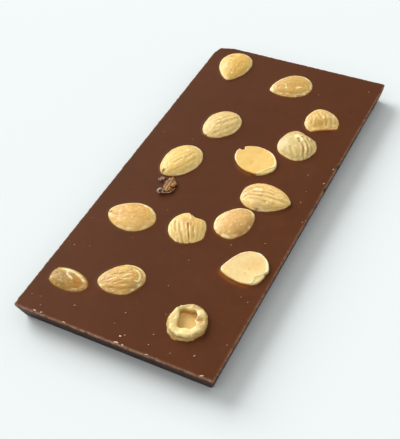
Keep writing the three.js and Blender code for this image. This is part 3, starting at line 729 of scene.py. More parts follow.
            (0.85, 0.35, 1.8, 1.6, -40, 0.35), (-0.6, 0.4, 2.4, 0.4, 0, 0.4),
            (0.15, 0.35, 3.2, 0.8, 0, 0.4), (-0.5, -0.5, 2.6, 0.5, 0, 0.4),
            (0.45, -0.2, 2.6, 0.8, -10, 0.5), (-0.5, 0.62, 3, 0.4, 0, 0.4), (0, -0.72, 3, 0.5, 0, 0.3)),
        spots=((0.12, 0.02, 2, 0.5, (218, 162, 84)), (-0.05, -0.1, 0.8, 0.5, (186, 128, 58)),
            (0.35, 0, 1.4, 0.3, (222, 176, 100)))),
    dict(seed=11, x=-21.2, y=-27.7, heading=184, length=20, width=15.7, tip=0.58, rise=2.1, lift=1.2,
        color=(228, 182, 110), soft=0.1, count=2, wrinkle=0.06,
        trims=((-1, 0, 0.8, 0.1), (1, -0.4, -1, 0.14), (-1, -0.5, -1, 0.1)),
        lines=((0.3, 0.3, 0, 0.4, 0.95, 0.25, 0.06), (0.1, 0.05, 0, -0.3, 0.7, 0.08, 0.05)),
        flank=0.2,
        scuffs=((0.48, 0.02, 1.2, 0.8, 20, 0.7), (0.3, -0.35, 2.6, 0.5, 15, 0.35),
            (0.5, -0.5, 2.4, 0.6, 15, 0.45), (-0.1, 0.25, 1, 0.7, 50, 0.35),
            (0.35, 0.6, 1.4, 0.6, -10, 0.45), (-0.7, 0.3, 1.2, 0.5, 60, 0.35),
            (-0.1, -0.5, 2.2, 0.6, 10, 0.25), (0.15, -0.1, 1.6, 0.4, 0, 0.3),
            (-0.3, -0.3, 1, 0.5, 60, 0.25)),
        pits=((0.89, 0.3, 1.5, 0.9, -10, 0.55),), spots=((-0.1, -0.02, 1.4, 0.25, (206, 150, 84)),)),
    dict(seed=12, form="half", slot="almond_pale", x=27.6, y=-34.3, heading=207, length=16.8, width=14.8,
        tip=0.78, rise=1.1, color=(239, 214, 168), rim=(255, 247, 226), ends=((7.8, 0.6),),
        trims=((1, 0, 0.6, 0.05), (-1, 0.1, 0.8, 0.08), (1, -0.45, -0.85, 0.14)),
        bites=((152, 0.13, 0.05),), chips=(((-3.5, 4.2), (110, 152)),), bare_edge=(50, 50), glow=0.7,
        spots=((-3.6, -0.8, 3, 0.6, (232, 192, 128)), (-1.7, 0.6, 0.5, 0.4, (196, 150, 84)))),
    dict(seed=13, slot="almond_brown", x=-26.7, y=-63.1, heading=176, length=18.4, width=10.5, tip=0.5,
        rise=1.8, lift=1, color=(178, 139, 66), soft=0.22, count=1.8, wrinkle=0.1, flank=0, edge=0.35,
        ends=((5.8, 1.3),), lines=((0.15, 0.1, 0, -0.6, 0.5, 0.15, 0.08),),
        threads=((0.7, 0.4, ((1.6, -2.9), (1.2, -1.5), (0.2, -0.8), (-1.7, -0.1))),
            (0.9, 0.55, ((4.2, -2.6), (1.5, -3.3), (-1, -3.2), (-3.5, -2.6), (-5.5, -1.7)))),
        scuffs=((0.2, 0.45, 2, 0.5, 10, 0.3), (-0.5, 0.62, 2.4, 0.5, 15, 0.4),
            (-0.85, 0.1, 0.8, 1.6, 0, 0.4)),
        # the first spot is painted highlight along the far edge
        spots=((0.16, -0.55, 1.2, 0.9, (252, 236, 200)), (-0.52, 0.02, 2.4, 0.8, (204, 132, 52)),
            (-0.5, -0.2, 1, 0.6, (214, 140, 60)), (0.1, 0.5, 2.6, 0.45, (160, 124, 54)),
            (0.45, 0.1, 2, 0.3, (188, 152, 76)))),
    dict(seed=14, x=-9.4, y=-55.5, heading=207, length=17.8, width=14.4, tip=0.6, rise=2.4, lift=0.7,
        color=(213, 173, 106), soft=0.14, count=2.2, wrinkle=0.12,
        trims=((-1, -0.3, 0.6, 0.09), (1, -0.2, -0.8, 0.13)),
        streak=0.1, flank=0.2,
        lines=((0.72, 0.6, 0.05, -0.6, 0.5, 0.3, 0.06), (0.42, 0.35, 0.05, -0.5, 0.7, 0.22, 0.05),
            (0.12, 0.1, 0.05, -0.3, 0.7, 0.18, 0.06), (-0.2, -0.15, 0, -0.6, 0.4, 0.2, 0.05)),
        threads=((0.95, 0.28, ((-4.2, -3.2), (-5.5, -2.5), (-6.4, -0.8), (-6.5, 0.9), (-5.8, 2.2),
            (-4.9, 1.9))), (0.85, 0.26, ((-1, 0.4), (-2.2, -0.5), (-3.6, -1))),
            (0.85, 0.26, ((-1.3, 1.6), (-2.5, 1.3), (-4, 0.8))),
            (0.5, 0.26, ((3.6, 0.9), (1.4, 0.7), (-0.8, 1.2)))),
        scuffs=((-0.35, -0.3, 1.4, 0.5, 20, 0.5), (0.1, 0, 1.4, 0.4, 80, 0.4),
            (0.35, 0.15, 1.6, 0.4, 10, 0.35), (-0.1, 0.55, 2.2, 0.4, 0, 0.35),
            (0.7, 0.65, 1.4, 0.5, -30, 0.45)),
        spots=((-0.45, -0.05, 1.4, 0.3, (222, 164, 92)), (0.15, 0.1, 1.2, 0.25, (226, 170, 96)),
            (0.85, 0, 3, 0.45, (184, 140, 80)), (-0.5, 0.8, 2.6, 0.4, (190, 128, 66)))),
    dict(seed=15, form="cup", x=20.3, y=-62.8, heading=100, length=14.4, width=13.4, tip=0.5, rise=2.3,
        color=(208, 188, 140)),
]
for nut in NUTS:
    nut["node"] = f"almond_{nut['seed']:02d}"
    nut.setdefault("form", "whole")

# How each form is made, and the vertices round it as a nut and as the cutter of its pocket.
FORMS = {"whole": (whole_nut, 150, 76), "half": (half_nut, 190, 80), "cup": (cup_nut, 220, 90)}


# Materials.
def feed(tree, node, inputs):
    """Gives a node's inputs their values, or links them to the outputs of other nodes."""
    for key, value in inputs.items():
        if isinstance(value, bpy.types.NodeSocket):
            tree.links.new(value, node.inputs[key])
        else:
            node.inputs[key].default_value = value


def new_node(tree, kind, inputs):
    node = tree.nodes.new("ShaderNode" + kind)
    feed(tree, node, inputs)
    return node


def new_material(name, inputs):
    """A material; inputs is a function that makes its surface's inputs in its node tree."""
    mat = bpy.data.materials.new(name)
    mat.use_nodes = True
    feed(mat.node_tree, mat.node_tree.nodes["Principled BSDF"], inputs(mat.node_tree))
    return mat


def grain(tree, scale, detail, rough, low, high, start=0.3, stop=0.7):
    """Noise in object space; its values from start to stop become low to high."""
    coords = tree.nodes.new("ShaderNodeTexCoord").outputs["Object"]
    settings = {"Scale": scale, "Detail": detail, "Roughness": rough, "Vector": coords}
    value = new_node(tree, "TexNoise", settings).outputs["Fac"]
    limits = {"From Min": start, "From Max": stop, "To Min": low, "To Max": high, "Value": value}
    return new_node(tree, "MapRange", limits).outputs["Result"]


def patchy(tree, scale, low, high):
    return grain(tree, scale, 3.0, 0.5, low, high)


def tinted(tree, scale, low, high):
    """Vertex tint times a fine procedural brightness."""
    tint = new_node(tree, "VertexColor", {})
    tint.layer_name = "tint"
    product = new_node(tree, "VectorMath", {})
    product.operation = "SCALE"
    feed(tree, product, {0: tint.outputs["Color"], "Scale": grain(tree, scale, 4.0, 0.6, low, high)})
    return product.outputs["Vector"]


def bumped(tree, scales, strength, distance):
    total = 0.0
    for scale, weight in scales:
        add = new_node(tree, "Math", {0: total, 1: grain(tree, scale, 4.0, 0.55, 0.0, weight, 0.0, 1.0)})
        total = add.outputs["Value"]
    settings = {"Strength": strength, "Distance": distance, "Height": total}
    return new_node(tree, "Bump", settings).outputs["Normal"]


def almond_inputs(tree):
    return {
        "Base Color": tinted(tree, 900.0, 0.95, 1.05),
        "Roughness": patchy(tree, 500.0, 0.3, 0.5),
        "Subsurface Weight": 0.3,
        "Subsurface Radius": (1.0, 0.55, 0.25),
        "Subsurface Scale": 0.0007,
        "Specular IOR Level": 0.35,
        "Sheen Weight": 0.3,
        "Sheen Roughness": 0.25,
        "Sheen Tint": (1.0, 0.93, 0.84, 1.0),
        "Normal": bumped(tree, ((1200.0, 1.0), (350.0, 1.5)), 0.35, 0.0002),
    }


def chocolate_inputs(tree):
    return {
        "Base Color": tinted(tree, 160.0, 0.95, 1.05),
        "Roughness": patchy(tree, 120.0, 0.40, 0.52),
        "Specular IOR Level": 0.06,
        "Normal": bumped(tree, ((1500.0, 0.6), (260.0, 1.0)), 0.12, 0.00005),
    }


def skin_inputs(tree):
    normal = bumped(tree, ((1800.0, 1.0),), 0.5, 0.0002)
    return {"Base Color": tinted(tree, 1500.0, 0.8, 1.2), "Roughness": 0.5, "Normal": normal}


def fleck_inputs(tree):
    return {"Base Color": tinted(tree, 2500.0, 0.85, 1.15), "Roughness": 0.75}


def floor_inputs(tree):
    return {"Base Color": FLOOR_COLOR, "Roughness": 0.9, "Specular IOR Level": 0.1}


# The chocolate slab.
CORNER = 0.8         # radius of its corners in plan
CHIP_BACK = 3.5      # the chip's length along the back edge
CHIP_SIDE = 2.5      # and along the left edge
CHIP_BAND = 2.5      # what lies this near the break is squeezed up to it
NICKS = ((13.0, 0.6, 1.0), (26.5, 0.6, 1.0))     # y, depth, half-width
BASE_COLOR = linear((97, 54, 29))
# walls and underside: painted shade and painted reflection of the floor
SHADED_WALL_COLOR = linear((54, 36, 33))
RIM_COLOR = linear((190, 150, 124))
# painted shade round each nut, at the edge of its pocket
POCKET_SHADE = linear((74, 42, 22))
POCKET_OVERLAP = 0.05    # how much smaller a pocket is than its nut
SHARP = 38           # edges sharper than this stay sharp, degrees
GRID = (180, 374)
INSET = 1.0          # from the outline to the grid's border
# From the grid's border to the underside: share of the way out to the outline, height.
EDGE = (
    (0.4, TOP), (0.75, TOP), (0.90, TOP - 0.04), (0.98, TOP - 0.14), (1.0, TOP - 0.35), (1.0, TOP - 0.85),
    (1.0, 5.6), (1.0, 4.4), (1.0, 3.2), (1.0, 2.0), (1.0, 1.1), (0.97, 0.55), (0.85, 0.2), (0.6, 0.03),
    (0.2, 0.0),
)


def round_corners(x, y):
    over_x = np.clip(np.abs(x) - (HALF_W - CORNER), 0, None)
    over_y = np.clip(np.abs(y) - (HALF_L - CORNER), 0, None)
    both = (over_x > 0) & (over_y > 0)
    length = np.hypot(over_x, over_y)
    pull = np.where(both, np.maximum(over_x, over_y) / np.where(length > 0, length, 1), 1)
    x = np.where(both, np.sign(x) * (HALF_W - CORNER + over_x * pull), x)
    y = np.where(both, np.sign(y) * (HALF_L - CORNER + over_y * pull), y)
    return x, y


def outline_warp(x, y, z):
    """Rounds the corners, cuts the chip and the nicks, and draws the walls in below."""
    x, y = round_corners(x, y)
    # chipped back-left corner: squeezes the last millimetres up to the break
    size = math.hypot(CHIP_SIDE, CHIP_BACK)
    nx, ny = -CHIP_SIDE / size, CHIP_BACK / size
    beyond = (x + HALF_W - CHIP_BACK) * nx + (y - HALF_L) * ny
    along = (x + HALF_W) * ny + (y - HALF_L) * nx
    line = 0.25 * noise(along * 1.1, 0.0, z * 0.4, 81) - 0.25 * bell(along, 1.5)
    over = np.clip(beyond - line + CHIP_BAND, 0, None)
    reach = CHIP_SIDE * CHIP_BACK / size
    shift = over * CHIP_BAND / (CHIP_BAND + reach) - over
    x, y = x + shift * nx, y + shift * ny
    for where, depth, half in NICKS:
        x = x - depth * bell(y - where, half) * smooth(HALF_W - 2.5, HALF_W, x) * smooth(2.5, 6.5, z)
    inset = DRAFT * np.clip(1 - z / (TOP - 0.5), 0, None)
    return x * (1 - inset / HALF_W), y * (1 - inset / HALF_L)


def waterline(nut):
    """The nut's outline at the chocolate surface, as points."""
    if nut["form"] != "whole":
        x, y = round_outline(nut, circle(150) + START_ANGLE)
        return to_bar(np.stack([x, y, 0 * x], -1), nut)[:, :2]
    t = np.cos(np.linspace(0.02, math.pi - 0.02, 110))[:, None]
    sides = []
    for stop in (-math.pi / 2, 1.5 * math.pi):
        points, _ = nut_surface(nut, t, np.linspace(math.pi / 2, stop, 60)[None, :], 0.0)
        z = points[..., 2]
        crossing = (z[:, :-1] > 0) & (z[:, 1:] <= 0)
        step = np.argmax(crossing, axis=1)
        row = np.nonzero(crossing.any(axis=1))[0]
        above, below = points[row, step[row]], points[row, step[row] + 1]
        share = above[:, 2:] / (above[:, 2:] - below[:, 2:])
        sides.append(above + (below - above) * share)
    return to_bar(np.concatenate([sides[0], sides[1][::-1]]), nut)[:, :2]


def distance_to(points, loop):
    ab = np.roll(loop, -1, axis=0) - loop
    size = np.maximum((ab**2).sum(-1), 1e-9)
    share = np.clip(((points[:, None] - loop) * ab).sum(-1) / size, 0, 1)
    near = loop + share[..., None] * ab
    return np.sqrt(((points[:, None] - near) ** 2).sum(-1)).min(1)


def edge_rows(x, y, ring):
    """Points from the grid's border over the edge and down the wall, ragged where the edge is scraped."""
    rx, ry = x[ring], y[ring]
    ox, oy = rx * HALF_W / (HALF_W - INSET), ry * HALF_L / (HALF_L - INSET)
    side = np.abs(np.abs(ox) - HALF_W) < 1e-6
    rows = []
    for k, (share, height) in enumerate(EDGE):
        x, y = rx + (ox - rx) * share, ry + (oy - ry) * share
        near = bell(k - 3.5, 2.2)
        rough = fbm(x * 1.3, y * 1.3, height * 0.9, 3, 90)
        bite = np.clip(noise(x * 0.55, y * 0.55, 0.0, 93) - 0.35, 0, None)
        bite = bite * np.where((ry < -HALF_L + 2) | (rx > HALF_W - 2), 1.0, 0.3)
        away = near * (0.10 * rough - 0.55 * bite)
        lift = near * (0.05 * rough - 0.15 * bite) * (height > 2)
        x = x + np.where(side, np.sign(ox) * away, 0)
        y = y + np.where(side, 0, np.sign(oy) * away)
        rows.append(np.stack([x, y, height + lift, np.full(x.shape, 1.0 + k)]))
    return rows


def nut_banks(x, y, top):
    """How far the chocolate rises against the nuts, and the share of the painted glow from them on it."""
    rise, painted_glow = np.zeros_like(x), np.zeros_like(x)
    for nut in NUTS:
        loop = waterline(nut)
        low, high = loop.min(0) - 3, loop.max(0) + 3
        near = np.nonzero(top & (x > low[0]) & (x < high[0]) & (y > low[1]) & (y < high[1]))[0]
        nx, ny = x[near], y[near]
        away = distance_to(np.stack([nx, ny], -1), loop)
        uneven = 1 + 0.6 * noise(nx * 0.35, ny * 0.35, 0.1, nut["seed"] + 60)
        bank = 0.10 * bell(away, 0.45) + 0.03 * np.exp(-away / 1.1)
        rise[near] = np.maximum(rise[near], uneven * bank)
        bearing = np.arctan2(ny - nut["y"], nx - nut["x"])
        # painted glow, strongest on the side toward the camera
        glow = 0.32 * smooth(-0.2, 0.8, -np.cos(bearing - math.radians(FAR_SIDE))) * bell(away, 0.4)
        if nut["form"] == "half":
            centre, spread = nut["bare_edge"]
            share = bell(apart_from(bearing, centre + nut["heading"]), math.radians(spread), 4)
            glow = glow + share * nut["glow"] * bell(away, 1.0)
        painted_glow[near] = np.maximum(painted_glow[near], uneven * glow)
    return rise, painted_glow


def slab_color(x, y, z, kind, painted_glow):
    tone = 1 + 0.05 * fbm(x * 0.05, y * 0.05, z * 0.1, 2, 72) + 0.03 * fbm(x * 0.6, y * 0.6, z * 0.6, 3, 73)
    # walls darker and greyer than the top: painted shade and painted reflection
    color = mix(BASE_COLOR * tone[:, None], SHADED_WALL_COLOR, smooth(5, 8, kind))
    ragged = 0.5 + 0.5 * fbm(x * 1.1, y * 1.1, z, 3, 74)
    at_rim = bell(kind - 3.2, 1.9) * (kind > 0) * np.clip(0.1 + ragged, 0, 1)
    shade = np.where(y < -HALF_L + 2.2, 1.0, np.where(x > HALF_W - 2.2, 0.6, 0.1))
    # painted glow beside the nuts
    return mix(mix(color, RIM_COLOR, at_rim * shade), GLOW, painted_glow)


def slab_mesh():
    """The bar without its pockets. kind is 0 on the grid and then counts the rows over the edge."""
    nx, ny = GRID
    x, y = (v.ravel() for v in np.meshgrid(np.linspace(INSET - HALF_W, HALF_W - INSET, nx),
                                           np.linspace(INSET - HALF_L, HALF_L - INSET, ny)))
    index = np.arange(nx * ny).reshape(ny, nx)
    ring = border(index)
    grid = np.stack([x, y, np.full(x.shape, TOP), np.zeros(x.shape)])
    x, y, z, kind = np.concatenate([grid] + edge_rows(x, y, ring), axis=1)
    top = kind <= 2
    rise, painted_glow = nut_banks(x, y, top)
    waves = 0.02 * fbm(x * 0.05, y * 0.05, 0.1, 2, 70) + 0.003 * fbm(x * 0.5, y * 0.5, 0.2, 2, 71)
    z = z + np.where(top, np.clip(rise, 0, 0.3) + waves * (kind == 0), 0)
    color = slab_color(x, y, z, kind, painted_glow)
    x, y = outline_warp(x, y, z)
    faces = sheet_quads(index).tolist()
    last = ring
    for k in range(len(EDGE)):
        fresh = nx * ny + k * len(ring) + np.arange(len(ring))
        faces += ring_quads(last, fresh)
        last = fresh
    faces.append(last[::-1].tolist())
    return np.stack([x, y, z], -1), faces, color


def cutter_mesh():
    """All nuts, a hair smaller than they are, as one mesh that cuts their pockets."""
    verts, faces, count = [], [], 0
    for nut in NUTS:
        make, _, steps = FORMS[nut["form"]]
        v, f, _ = make(nut, -POCKET_OVERLAP, steps)
        verts.append(v)
        faces += [[i + count for i in face] for face in f]
        count += len(v)
    return np.concatenate(verts), faces, np.tile(CHOC, (count, 1))


def add_slab(material):
    slab = make_object("chocolate_slab", *slab_mesh())
    cutter = make_object("pockets", *cutter_mesh())
    cut = slab.modifiers.new("pockets", "BOOLEAN")
    cut.operation = "DIFFERENCE"
    cut.solver = "MANIFOLD"
    cut.object = cutter
    view = bpy.context.evaluated_depsgraph_get()
    result = bpy.data.meshes.new_from_object(slab.evaluated_get(view))
    slab.modifiers.clear()
    slab.data = result
    bpy.data.objects.remove(cutter)
    result.set_sharp_from_angle(angle=math.radians(SHARP))
    result.materials.clear()
    # the cut leaves its new vertices white; they are painted dark, as painted shade round each nut
    layer = result.color_attributes["tint"].data
    shades = np.empty(len(layer) * 4, dtype=np.float32)
    layer.foreach_get("color", shades)
    shades = shades.reshape(-1, 4)
    shades[shades[:, :3].min(1) > 0.99, :3] = POCKET_SHADE
    layer.foreach_set("color", shades.ravel())
    finish_piece(slab, material, "tablet")


def add_nuts(material):
    for nut in NUTS:
        make, steps, _ = FORMS[nut["form"]]
        obj = make_object(nut["node"] + "_nut", *make(nut, 0.0, steps))
        finish_piece(obj, material, nut["node"])


# Skin flake and scrap. tears: side, place and width along, share of the width.
PLATE = dict(
    x=-16.1, y=-8.3, heading=98, length=7.8, width=5.0, thick=0.8, arch=0.5, waves=3, wave=0.12, seed=201,
    color=(178, 118, 34), dark=(110, 68, 20), pale=(192, 140, 64),
    tears=((-1, -0.35, 0.09, 0.75), (1, 0.2, 0.06, 0.25), (1, 0.75, 0.12, 0.35), (-1, 0.8, 0.1, 0.3)),
)
SCRAP = dict(
    x=-20.8, y=-6.2, heading=40, length=2.8, width=2.2, thick=0.5, arch=0.2, waves=2, wave=0.1, seed=211,
    color=(190, 146, 124), dark=(110, 66, 44), pale=(224, 188, 168),
    tears=((-1, 0.1, 0.15, 0.7), (1, -0.6, 0.2, 0.4)),
)
PLATE_GRID = (80, 70)
CURL = dict(x=-17.8, y=-12.6, heading=-48)
CURL_LIFT = 1.2
CURL_ROUND = 1.3     # the curl is wider than it is high
CURL_TILT = 30.0     # its near end is raised, degrees
CURL_AROUND = 48
# Section of the curl's wall: radius, place along it.
CURL_WALL = ((0.5, -0.4), (0.75, -0.55), (0.95, -0.4), (1.0, 0.4), (0.85, 0.55), (0.6, 0.5), (0.5, 0.2))
STRIP = (
    (-17.6, -13.2, 8.2), (-16.2, -12.4, 8.1), (-14.8, -11.7, 8.0), (-13.8, -10.6, 8.1), (-13.4, -8.9, 8.3),
)
STRIP_RADIUS = 0.2
STRIP_AROUND = 10


def plate_mesh(piece):
    seed = piece["seed"]
    u, v = np.meshgrid(*(np.linspace(-1, 1, n) for n in PLATE_GRID), indexing="ij")
    ragged_u = 1 + 0.12 * fbm(v * 2.6, 0.5, 0.1, 3, seed)
    ragged_v = 1 + 0.16 * fbm(u * 2.9, 0.2, 0.7, 3, seed + 1)
    for side, where, width, amount in piece["tears"]:
        ragged_v = ragged_v - amount * bell(u - where, width) * (side * v > 0)
    x = piece["length"] / 2 * u * (1 - 0.2 * v * v) * ragged_u * 0.95
    y = piece["width"] / 2 * v * (1 - 0.35 * u * u) * ragged_v * 0.95
    fan = v * (1 - 0.25 * u) + 0.15 * u + 0.06 * noise(u * 2.0, v * 3.0, 0.2, seed + 2)
    stripes = np.cos(np.pi * piece["waves"] * fan)
    arch = piece["arch"] * (1 - v * v) + 0.15 * fbm(u * 2, v * 2, 0.4, 3, seed + 3)
    lip = bell(u + 0.9, 0.07) + 0.8 * bell(v + 0.92, 0.06)
    upper = piece["thick"] + arch + piece["wave"] * (stripes + lip)
    lower = np.maximum(upper - 0.5, 0.02 + 0.3 * (1 - v * v))
    sheets = [np.stack([x, y, z], -1).reshape(-1, 3) for z in (np.maximum(upper, lower + 0.2), lower)]
    index = np.arange(u.size).reshape(u.shape).T
    quads, ring = sheet_quads(index), border(index)
    sides = np.array(ring_quads(ring, ring + u.size))[:, ::-1]
    faces = quads.tolist() + (quads[:, ::-1] + u.size).tolist() + sides.tolist()
    blotch = fbm(u * 2.2, v * 2.2, 0.9, 3, seed + 6)
    light = smooth(-1.0, 0.6, 0.7 * stripes + 0.9 * blotch)
    color = mix(linear(piece["dark"]), linear(piece["color"]), light)
    streak = fbm(u * 1.2, v * 9, 0.3, 3, seed + 4)
    color = mix(color, linear(piece["pale"]), 0.5 * smooth(0.0, 0.8, streak) + 0.8 * lip).reshape(-1, 3)
    # the underside is the same colour 0.7 times as bright: painted shade
    return to_bar(np.concatenate(sheets), piece), faces, np.concatenate([color, color * 0.7])


def curl_mesh(seed):
    """The rolled end of the flake: a short open tube lying on its side, tilted."""
    rows = np.array(CURL_WALL + CURL_WALL[:1])
    path = np.array([a + (b - a) * s for a, b in zip(rows[:-1], rows[1:]) for s in (0, 0.25, 0.5, 0.75)])
    a = circle(CURL_AROUND)[None, :]
    radius, along = path[:, :1], path[:, 1:]
    bump = 1 + 0.12 * fbm(np.cos(a) * 1.5, np.sin(a) * 1.5, along * 0.8, 3, seed)
    y = radius * np.cos(a) * bump * CURL_ROUND
    z = radius * np.sin(a) * bump
    x = along * (1 + 0.12 * noise(np.cos(a) * 2, np.sin(a) * 2, 0.4, seed + 1))
    grid = np.arange(x.size).reshape(x.shape)
    ahead = np.roll(grid, -1, 0)
    faces = np.stack([grid, np.roll(grid, -1, 1), np.roll(ahead, -1, 1), ahead], -1).reshape(-1, 4).tolist()
    # pale grey patches, palest at the raised end: the skin's own pale grey and painted highlight
    pale = fbm(x * 1.6, y * 1.6, z, 3, seed + 2) + 0.5 * (along > 0.45)
    grey = mix(linear((110, 80, 68)), linear((220, 200, 190)), smooth(-0.3, 0.4, pale))
    # dark inside the tube: painted shade
    grey = mix(grey, linear((34, 20, 15)), smooth(0.62, 0.52, radius) + 0 * a)
    x, z = turned(x, z, CURL_TILT)
    verts = np.stack([x, y, z + CURL_LIFT], -1).reshape(-1, 3)
    return to_bar(verts, CURL), faces, grey.reshape(-1, 3)


def strip_mesh(seed):
    """A thin thread of skin along a smooth line of points."""
    line = curve_points(STRIP, 6)
    ahead = np.gradient(line, axis=0)
    ahead /= np.linalg.norm(ahead, axis=1)[:, None]
    side = np.stack([-ahead[:, 1], ahead[:, 0], 0 * ahead[:, 0]], -1)
    side /= np.linalg.norm(side, axis=1)[:, None]
    above = np.cross(ahead, side)
    n, around = len(line), STRIP_AROUND
    a = circle(around)[None, :, None]
    taper = np.sin(np.linspace(0.35, np.pi - 0.35, n))
    uneven = 1 + 0.3 * noise(np.arange(n) * 0.45, 0.5, 0.5, seed)
    size = STRIP_RADIUS * (taper * uneven)[:, None, None]
    rings = line[:, None] + size * (side[:, None] * np.cos(a) * 1.3 + above[:, None] * np.sin(a))
    verts = np.concatenate([rings.reshape(-1, 3), line[:1], line[-1:]])
    light = smooth(-0.4, 0.4, noise(verts[:, 0] * 1.5, verts[:, 1] * 1.5, 0.3, seed + 1))
    color = mix(linear((150, 104, 76)), linear((214, 172, 150)), light)
    return verts, lattice_faces(n, around, n * around, n * around + 1), color


def add_skin(material):
    for name, node, mesh in (
        ("skin_flake_plate", "skin_flake", plate_mesh(PLATE)),
        ("skin_scrap_piece", "skin_scrap", plate_mesh(SCRAP)),
        ("skin_flake_curl", "skin_flake", curl_mesh(221)),
        ("skin_flake_strip", "skin_flake", strip_mesh(231)),
    ):
        finish_piece(make_object(name, *mesh), material, node)


# Flecks on the surface: x, y, length, width, turn, brightness.
FLECKS = (
    (33.8, 72.8, 0.9, 0.5, 60, 0.7), (15.4, 63.5, 0.7, 0.5, 20, 0.6), (-33.3, 18.7, 0.8, 0.4, 70, 0.7),
    (-20.7, 19, 0.6, 0.4, 10, 0.6), (29.8, 17.5, 0.8, 0.5, 30, 0.6), (32.5, 9, 0.6, 0.5, 0, 0.6),
    (32.8, 3, 1, 0.4, 100, 0.8), (-11, -19.6, 0.6, 0.4, 40, 0.7), (29.3, -20.6, 0.9, 0.5, 20, 0.7),
    (18.5, -26, 1.2, 0.5, 130, 0.5), (8, -38.3, 0.6, 0.5, 0, 0.6), (-35.2, -34.3, 0.6, 0.4, 40, 0.6),
    (-16, -36.8, 0.8, 0.3, 20, 0.5), (-33.8, -48.3, 1.2, 0.5, 60, 0.8), (-28.2, -46.5, 0.6, 0.4, 0, 0.6),
    (31.8, -45.8, 0.6, 0.4, 20, 0.7), (34.8, -47, 0.7, 0.5, 50, 0.7), (6.8, -51.4, 0.6, 0.5, 0, 0.6),
    (12, -62.5, 0.7, 0.5, 10, 0.7), (36.1, -65.5, 0.7, 0.4, 70, 0.7), (12.2, -71.5, 0.8, 0.6, 30, 0.8),
    (-0.8, -67.5, 0.7, 0.6, 0, 0.8), (-18.5, -71.8, 1.5, 0.5, 10, 0.7), (-35, -73.6, 0.7, 0.5, 30, 0.7),
    (-31.6, -73.2, 0.7, 0.4, 0, 0.6), (-29.5, -76.5, 0.7, 0.5, 20, 0.7), (-2, -72.8, 0.6, 0.4, 0, 0.6),
    (2.5, -76.6, 1.1, 0.8, 10, 1.6), (3.6, -75.6, 0.8, 0.5, 40, 1), (28.4, -73.5, 1.2, 0.6, 60, 1),
    (12.7, -75.7, 0.7, 0.5, 0, 0.8), (20.8, -75.8, 0.7, 0.5, 20, 0.7), (-30, -79.2, 2, 0.7, -10, 1.1),
    (-27.5, -79, 1.6, 0.7, 30, 1.1), (2.5, -79.3, 2.4, 0.9, 10, 1.3), (5, -79.4, 1.6, 0.7, -20, 1.1),
    (-18, -79.4, 1.8, 0.6, 0, 1), (34, -79.3, 2, 0.8, 20, 1.1), (14, -79.4, 1.8, 0.6, 10, 1),
    (37.4, 24, 1.3, 0.6, 80, 0.9), (37, 15.5, 1.4, 0.6, 60, 0.9), (37.3, -6, 0.9, 0.4, 90, 0.8),
)
FLECK_SCALE = 0.36   # half of the length and width, shrunk a little
FLECK_COLOR = linear((214, 178, 148))
DUST = 70            # small flecks anywhere but on the nuts
EDGE_DUST = 120      # small flecks along the front and right edges
NUT_REACH = 11.5     # dust keeps this far from the centre of each nut


def dust_rows():
    """The listed flecks, then the small ones at random."""
    rng = np.random.default_rng(5)
    rows = list(FLECKS)
    while len(rows) < len(FLECKS) + DUST:
        x, y = rng.uniform(-37, 37), rng.uniform(-79, 79)
        size = rng.uniform(0.16, 0.34)
        turn = rng.uniform(0, 180)
        if min(math.hypot(x - n["x"], y - n["y"]) for n in NUTS) > NUT_REACH:
            rows.append((x, y, size, size * 0.7, turn, 0.45))
    while len(rows) < len(FLECKS) + DUST + EDGE_DUST:
        size, turn, bright = rng.uniform(0.15, 0.5), rng.uniform(-30, 30), rng.uniform(0.25, 0.9)
        inward = abs(rng.normal(0, 0.3)) + 0.12
        if len(rows) % 3:
            rows.append((rng.uniform(-38, 38), inward - HALF_L, size, size * 0.5, turn, bright))
        else:
            rows.append((HALF_W - inward, rng.uniform(-79, 79), size, size * 0.5, turn + 90, 0.7 * bright))
    return rows


def ball():
    bm = bmesh.new()
    bmesh.ops.create_icosphere(bm, subdivisions=2, radius=1.0)
    verts = np.array([v.co[:] for v in bm.verts])
    faces = np.array([[v.index for v in f.verts] for f in bm.faces])
    bm.free()
    return verts, faces


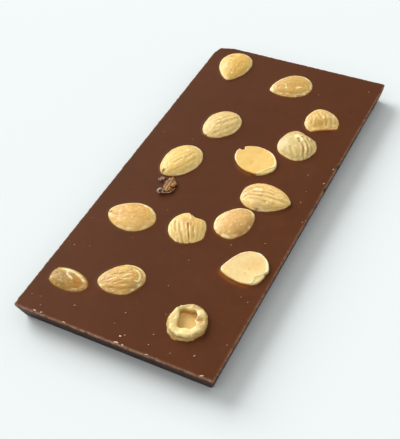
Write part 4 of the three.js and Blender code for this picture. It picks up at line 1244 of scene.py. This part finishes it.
def add_flecks(material):
    verts, faces, colors = [], [], []
    unit, unit_faces = ball()
    for i, (x, y, length, width, turn, bright) in enumerate(dust_rows()):
        lump = 1 + 0.35 * noise(*(unit.T * 1.7), 300 + i)
        p = unit * lump[:, None] * np.array([length, width, width * 0.6]) * FLECK_SCALE
        p[:, 2] += 0.25 * (p[:, 0] / length) ** 2 * width + 0.03 + width * 0.1
        verts.append(to_bar(p, {"x": x, "y": y, "heading": turn}))
        faces += (unit_faces + i * len(unit)).tolist()
        colors.append(np.tile(FLECK_COLOR * bright, (len(unit), 1)))
    obj = make_object("flecks", np.concatenate(verts), faces, np.concatenate(colors))
    finish_piece(obj, material)


# Stage: pale floor, soft light from the back left, even sky.
def add_floor():
    mesh = bpy.data.meshes.new("floor")
    s = FLOOR_HALF
    mesh.from_pydata([(-s, -s, 0), (s, -s, 0), (s, s, 0), (-s, s, 0)], [], [(0, 1, 2, 3)])
    mesh.materials.append(new_material("floor", floor_inputs))
    add_object("floor", mesh)


def add_lights():
    world = bpy.data.worlds.new("sky")
    world.use_nodes = True
    background = world.node_tree.nodes["Background"]
    feed(world.node_tree, background, {"Color": (1.0, 1.0, 1.0, 1), "Strength": SKY})
    bpy.context.scene.world = world
    sun = bpy.data.lights.new("window", "SUN")
    sun.angle = math.radians(WINDOW_ANGLE)
    sun.energy = WINDOW_POWER
    lamp = bpy.data.lights.new("softbox", "AREA")
    lamp.shape = "DISK"
    lamp.size = SOFTBOX_SIZE
    lamp.energy = SOFTBOX_POWER
    for data, place in ((sun, WINDOW_FROM), (lamp, SOFTBOX_FROM)):
        light = add_object(data.name, data)
        light.location = place
        light.rotation_euler = (-light.location).to_track_quat("-Z", "Y").to_euler()
    bpy.context.scene.view_settings.view_transform = "Standard"
    bpy.context.scene.view_settings.look = "None"


add_camera()
add_floor()
add_lights()
add_slab(new_material("chocolate", chocolate_inputs))
add_nuts(new_material("almond", almond_inputs))
add_skin(new_material("almond_skin", skin_inputs))
add_flecks(new_material("fleck", fleck_inputs))
